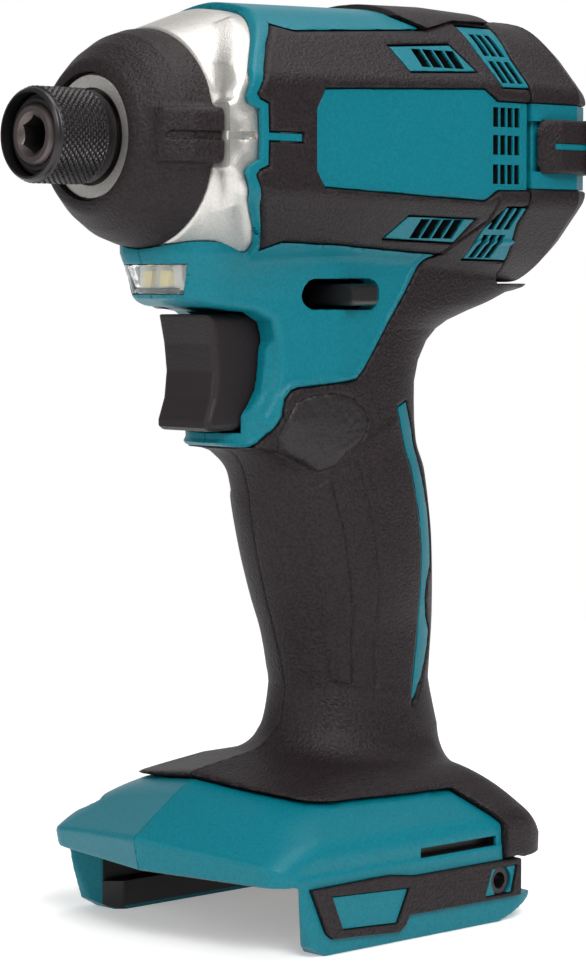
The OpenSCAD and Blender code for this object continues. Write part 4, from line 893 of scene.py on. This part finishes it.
def boot_shape(x, y, z):
    """Rubber round the nose, with a grooved pad on each side."""
    u, v = np.abs(y), z - AXIS
    r = np.hypot(y, v)
    d = smax((r - np.interp(x, *BOOT_OUT)) * 0.88, x - 54, 1.4)
    top = np.interp(x, *BOOT_PAD)
    pad = smax(smax(np.abs(v) - 5.3, u - top, 1.6), x - 51.2, 1.2)
    d = smin(d, np.maximum(pad, 10 - u), 1.2)
    groove = np.maximum(stroke(x, v, BOOT_GROOVE) - 0.8, top - 0.8 - u)
    d = smax(d, -groove, 0.5)
    inner = r - np.interp(x, *BOOT_IN)
    return np.maximum(smax(d, 39.7 - x, 0.5), -inner)


carve("case_cast", case_shape, (8.5, -29, 131), (55, 29, 189), 0.43, ALLOY, "body", ["hammer_case"])
carve("case_boot", boot_shape, (38.5, -26, 137), (56, 26, 183), 0.42, RUBBER, "body", ["case_bumper"])


# Bit sleeve with a diamond knurl

AROUND, KNURL_LINES, KNURL_PITCH, KNURL_DEPTH = 360, 44, 1.32, 0.42
SLEEVE_OUT = ([53.3, 53.8, 55.8, 56.1, 67.1, 67.4, 68.0, 68.5],
              [8.7, 9.0, 9.0, 9.35, 9.35, 9.0, 8.95, 8.5])
SLEEVE_IN = [(68.5, 8.1), (58.4, 8.1), (58.4, 6.3), (56.0, 6.3), (56.0, 7.7), (53.3, 7.7)]


def sleeve_mesh():
    """Rings of the sleeve, along the outside to the front and back through the bore."""
    xs = np.concatenate([np.linspace(53.3, 55.8, 9), np.linspace(56, 67.2, 113), np.linspace(67.3, 68.5, 9)])
    a = np.arange(AROUND) * 2 * math.pi / AROUND
    x, t = np.meshgrid(xs, a, indexing="ij")
    r = np.interp(x, *SLEEVE_OUT)
    one = np.abs(((t / (2 * math.pi) * KNURL_LINES + x / KNURL_PITCH) % 1.0) - 0.5)
    two = np.abs(((t / (2 * math.pi) * KNURL_LINES - x / KNURL_PITCH) % 1.0) - 0.5)
    cut = np.clip(np.minimum(one, two) / 0.2, 0, 1)
    ends = np.clip((x - 56) / 0.3, 0, 1) * np.clip((67.2 - x) / 0.3, 0, 1)
    r = r - KNURL_DEPTH * (1 - cut) * ends
    outer = np.stack([x, r * np.cos(t), AXIS + r * np.sin(t)], -1)
    inner = []
    for xi, ri in SLEEVE_IN:
        inner.append(np.stack([np.full(AROUND, xi), ri * np.cos(a), AXIS + ri * np.sin(a)], -1))
    rings = np.concatenate([outer, np.stack(inner)], 0)
    k = len(rings)
    i, j = np.meshgrid(np.arange(k), np.arange(AROUND), indexing="ij")
    i2, j2 = (i + 1) % k, (j + 1) % AROUND
    faces = np.stack([i * AROUND + j, i2 * AROUND + j, i2 * AROUND + j2, i * AROUND + j2], -1)
    return rings.reshape(-1, 3), faces.reshape(-1, 4)[:, ::-1]


points, faces = sleeve_mesh()
make("knurled_sleeve", points, faces, DARK_STEEL, "sleeve", ["bit_sleeve"])


# Trigger and direction lever

TRIGGER_SIDE = Outline([(29.4, 125.3), (28.1, 119.4), (27.5, 113.9), (28.1, 108.6), (29.7, 104.2),
                        (29.7, 102.7), (28.7, 102.0), (22, 102.0), (18.6, 103.2), (16.2, 106),
                        (15.2, 109.6), (14.6, 113), (14.6, 125.3)])
TRIGGER_HALF_W, SPRING_Z, SPRING_ROOM_R, SPRING_ROOM_X = 8.0, 113.4, 4.4, 14.5
STEM = (6.6, -6.0, 105.4), (17, 6.0, 121.4)
PIVOT_X, PIVOT_Z, HUB_R, PIN_R = -20, 129.2, 4.5, 2.05
LEVER_REST = math.radians(-8)
ARM_L, TIP_X, TIP_HALF_L, TIP_HALF_W, LEVER_HALF_H = 29, 19.75, 4.3, 16.9, 2.2


def trigger_shape(x, y, z):
    """Trigger with its stem, hollow for the spring."""
    d = smax(TRIGGER_SIDE(x, z), np.abs(y) - TRIGGER_HALF_W, 1.7)
    d = np.minimum(d, box(x, y, z, *STEM))
    spring = np.maximum(np.hypot(y, z - SPRING_Z) - SPRING_ROOM_R, x - SPRING_ROOM_X)
    return np.maximum(d, -spring)


def lever_shape(x, y, z):
    """Lever on its upright pin: hub, arm and the bar that sticks out on both sides."""
    c, s = math.cos(LEVER_REST), math.sin(LEVER_REST)
    px = x - PIVOT_X
    qx, qy = px * c - y * s, px * s + y * c
    hub = np.hypot(qx, qy) - HUB_R
    arm = np.maximum(np.abs(qy) - 3, np.maximum(-qx, qx - ARM_L))
    tip = smax(np.abs(qx - TIP_X) - TIP_HALF_L, np.abs(qy) - TIP_HALF_W, 0.5)
    ridge = np.abs(z - PIVOT_Z) - LEVER_HALF_H + 0.5 * np.clip((np.abs(qy) - 16) / 1.4, 0, 1)
    d = smax(np.minimum(np.minimum(hub, arm), tip), ridge, 0.9)
    return np.maximum(d, -(np.hypot(qx, qy) - PIN_R))


carve("trigger_key", trigger_shape, (6, -12, 100), (36.5, 12, 127), 0.42, TRIGGER, "trigger",
      ["trigger"], 40)
carve("lever_key", lever_shape, (-26, -24, 126), (12, 24, 132.4), 0.4, BLACK, "lever",
      ["direction_lever"], 40)


# Lamp window, flush with the chin

def lens_shape(x, y, z):
    """Clear block behind the lamp's opening."""
    f = neck(x, y, z)
    d = smax(f + 0.15, lamp_region(x, y, z) + 0.12, 0.4)
    return np.maximum(d, -(f + 2.2))


carve("lamp_window", lens_shape, (30, -11, 128), (42, 11, 136.5), 0.35, LENS, "body", ["led_lens"], 40)


# Springs, which shorten with the joint that drives them

# Springs, copied from the CAD parts and carried by the bodies they ride on
for name, joint, rides, start, length, travel in (
        ("main_spring", "hammer_slide", "spindle", (8.65, 0, AXIS), 14.9, 5.9),
        ("sleeve_spring", "sleeve_slide", "anvil", (65.1, 0, AXIS), 6.5, 3.6),
        ("trigger_spring", "trigger_slide", "body", (0, 0, SPRING_Z), 14.3, 6.5)):
    coil = frame["nodes"][name].copy()
    coil.data = coil.data.copy()
    for key in list(coil.keys()):
        del coil[key]
    coil.name = name + "_coil"
    coil.parent = None
    bpy.context.scene.collection.objects.link(coil)
    coil.data.materials.clear()
    coil.data.materials.append(STEEL)
    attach(coil, rides)
    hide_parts(name)
    [MM * a for a in start]
    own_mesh(coil)


# Materials and softened edges on the pieces that keep their CAD shapes

FINISH = {
    "body_plastic": TEAL, "elastomer": RUBBER, "cast_alloy": ALLOY, "dark_steel": DARK_STEEL, "steel": STEEL,
    "laminated_steel": LAMINATED, "magnet": MAGNET, "copper": COPPER, "bush_bronze": BRONZE,
    "inner_plastic": BLACK, "carbon": CARBON, "lens": LENS, "board": BOARD, "lamp": LAMP, "lead": LEAD,
}
DULL = {"anvil": ANVIL_STEEL, "anvil_bush": ANVIL_STEEL, "hook_nuts": DARK_STEEL}
SOFT_EDGES = {"base_strip_left": 0.35, "base_strip_right": 0.35, "anvil": 0.25, "terminal_block": 0.4,
              "hook_nuts": 0.15, "housing_screws": 0.2, "rear_cover_screws": 0.2, "snap_ring": 0.12}
WELD_GAP = 0.002 * MM
for part in frame["record"]["subparts"]:
    obj = frame["nodes"][part["node"]]
    if obj.hide_render:
        continue
    look = DULL.get(part["node"], FINISH[part["material_slot"]])
    for place in obj.material_slots:
        place.material = look
    if part["node"] in SOFT_EDGES:
        weld = obj.modifiers.new("weld", "WELD")
        weld.merge_threshold = WELD_GAP
        bevel = obj.modifiers.new("bevel", "BEVEL")
        bevel.width = SOFT_EDGES[part["node"]] * MM
        bevel.segments = 2
        bevel.limit_method = "ANGLE"
        bevel.angle_limit = math.radians(40)
        bevel.harden_normals = True


# Stage

FLOOR_R, FLOOR_SIDES = 0.5, 64
SENSOR, FOCAL_PIXELS, IMAGE_H = 36, 3185.72, 962
EYE, YAW, PITCH = (0.449307, 0.481208, 0.132425), -2.3229, -0.0634
BACKDROP = (-0.682, -0.729, -0.06)  # direction of the white backdrop from the part

floor_mesh = bpy.data.meshes.new("floor")
turns = [2 * math.pi * k / FLOOR_SIDES for k in range(FLOOR_SIDES)]
ring = [(FLOOR_R * math.cos(a), FLOOR_R * math.sin(a), 0) for a in turns]
floor_mesh.from_pydata(ring, [], [range(FLOOR_SIDES)])
floor = bpy.data.objects.new("floor", floor_mesh)
bpy.context.scene.collection.objects.link(floor)
pale = material("floor", (0.9, 0.9, 0.9), 0.7, shine=0.1)
pale.node_tree.nodes["Principled BSDF"].inputs["Emission Color"].default_value = (1, 1, 1, 1)
pale.node_tree.nodes["Principled BSDF"].inputs["Emission Strength"].default_value = 0.3
floor_mesh.materials.append(pale)


def area_light(name, at, target, size, power):
    """Square soft light that looks at the target; metres and watts."""
    data = bpy.data.lights.new(name, "AREA")
    data.shape = "SQUARE"
    data.size = size
    data.energy = power
    lamp = bpy.data.objects.new(name, data)
    lamp.location = at
    lamp.rotation_euler = (Vector(target) - Vector(at)).to_track_quat("-Z", "Y").to_euler()
    bpy.context.scene.collection.objects.link(lamp)


middle = (0, 0, 0.1)
area_light("key", (0.35, 0.75, 0.75), middle, 0.5, 9)
area_light("side", (0.9, -0.1, 0.4), middle, 0.5, 2.5)
area_light("top", (-0.2, 0.1, 1.0), middle, 0.6, 5)

# A white backdrop behind the part, in a dimmer room
world = bpy.data.worlds.new("studio")
world.use_nodes = True
tree = world.node_tree
where = tree.nodes.new("ShaderNodeTexCoord")
facing = tree.nodes.new("ShaderNodeVectorMath")
facing.operation = "DOT_PRODUCT"
facing.inputs[1].default_value = BACKDROP
backdrop = tree.nodes.new("ShaderNodeMapRange")
for key, value in (("From Min", 0.7), ("From Max", 0.93), ("To Min", 0.3), ("To Max", 1.0)):
    backdrop.inputs[key].default_value = value
tree.links.new(where.outputs["Generated"], facing.inputs[0])
tree.links.new(facing.outputs["Value"], backdrop.inputs["Value"])
tree.links.new(backdrop.outputs["Result"], tree.nodes["Background"].inputs["Strength"])
tree.nodes["Background"].inputs["Color"].default_value = (1, 1, 1, 1)
bpy.context.scene.world = world

eye = bpy.data.cameras.new("camera")
eye.sensor_fit = "VERTICAL"
eye.sensor_height = SENSOR
eye.lens = SENSOR * FOCAL_PIXELS / IMAGE_H
eye.clip_start = 0.05
eye.clip_end = 20
camera = bpy.data.objects.new("camera", eye)
camera.location = EYE
ahead = Vector((math.cos(YAW) * math.cos(PITCH), math.sin(YAW) * math.cos(PITCH), math.sin(PITCH)))
camera.rotation_euler = ahead.to_track_quat("-Z", "Y").to_euler()
bpy.context.scene.collection.objects.link(camera)
bpy.context.scene.camera = camera
bpy.context.scene.view_settings.view_transform = "Standard"
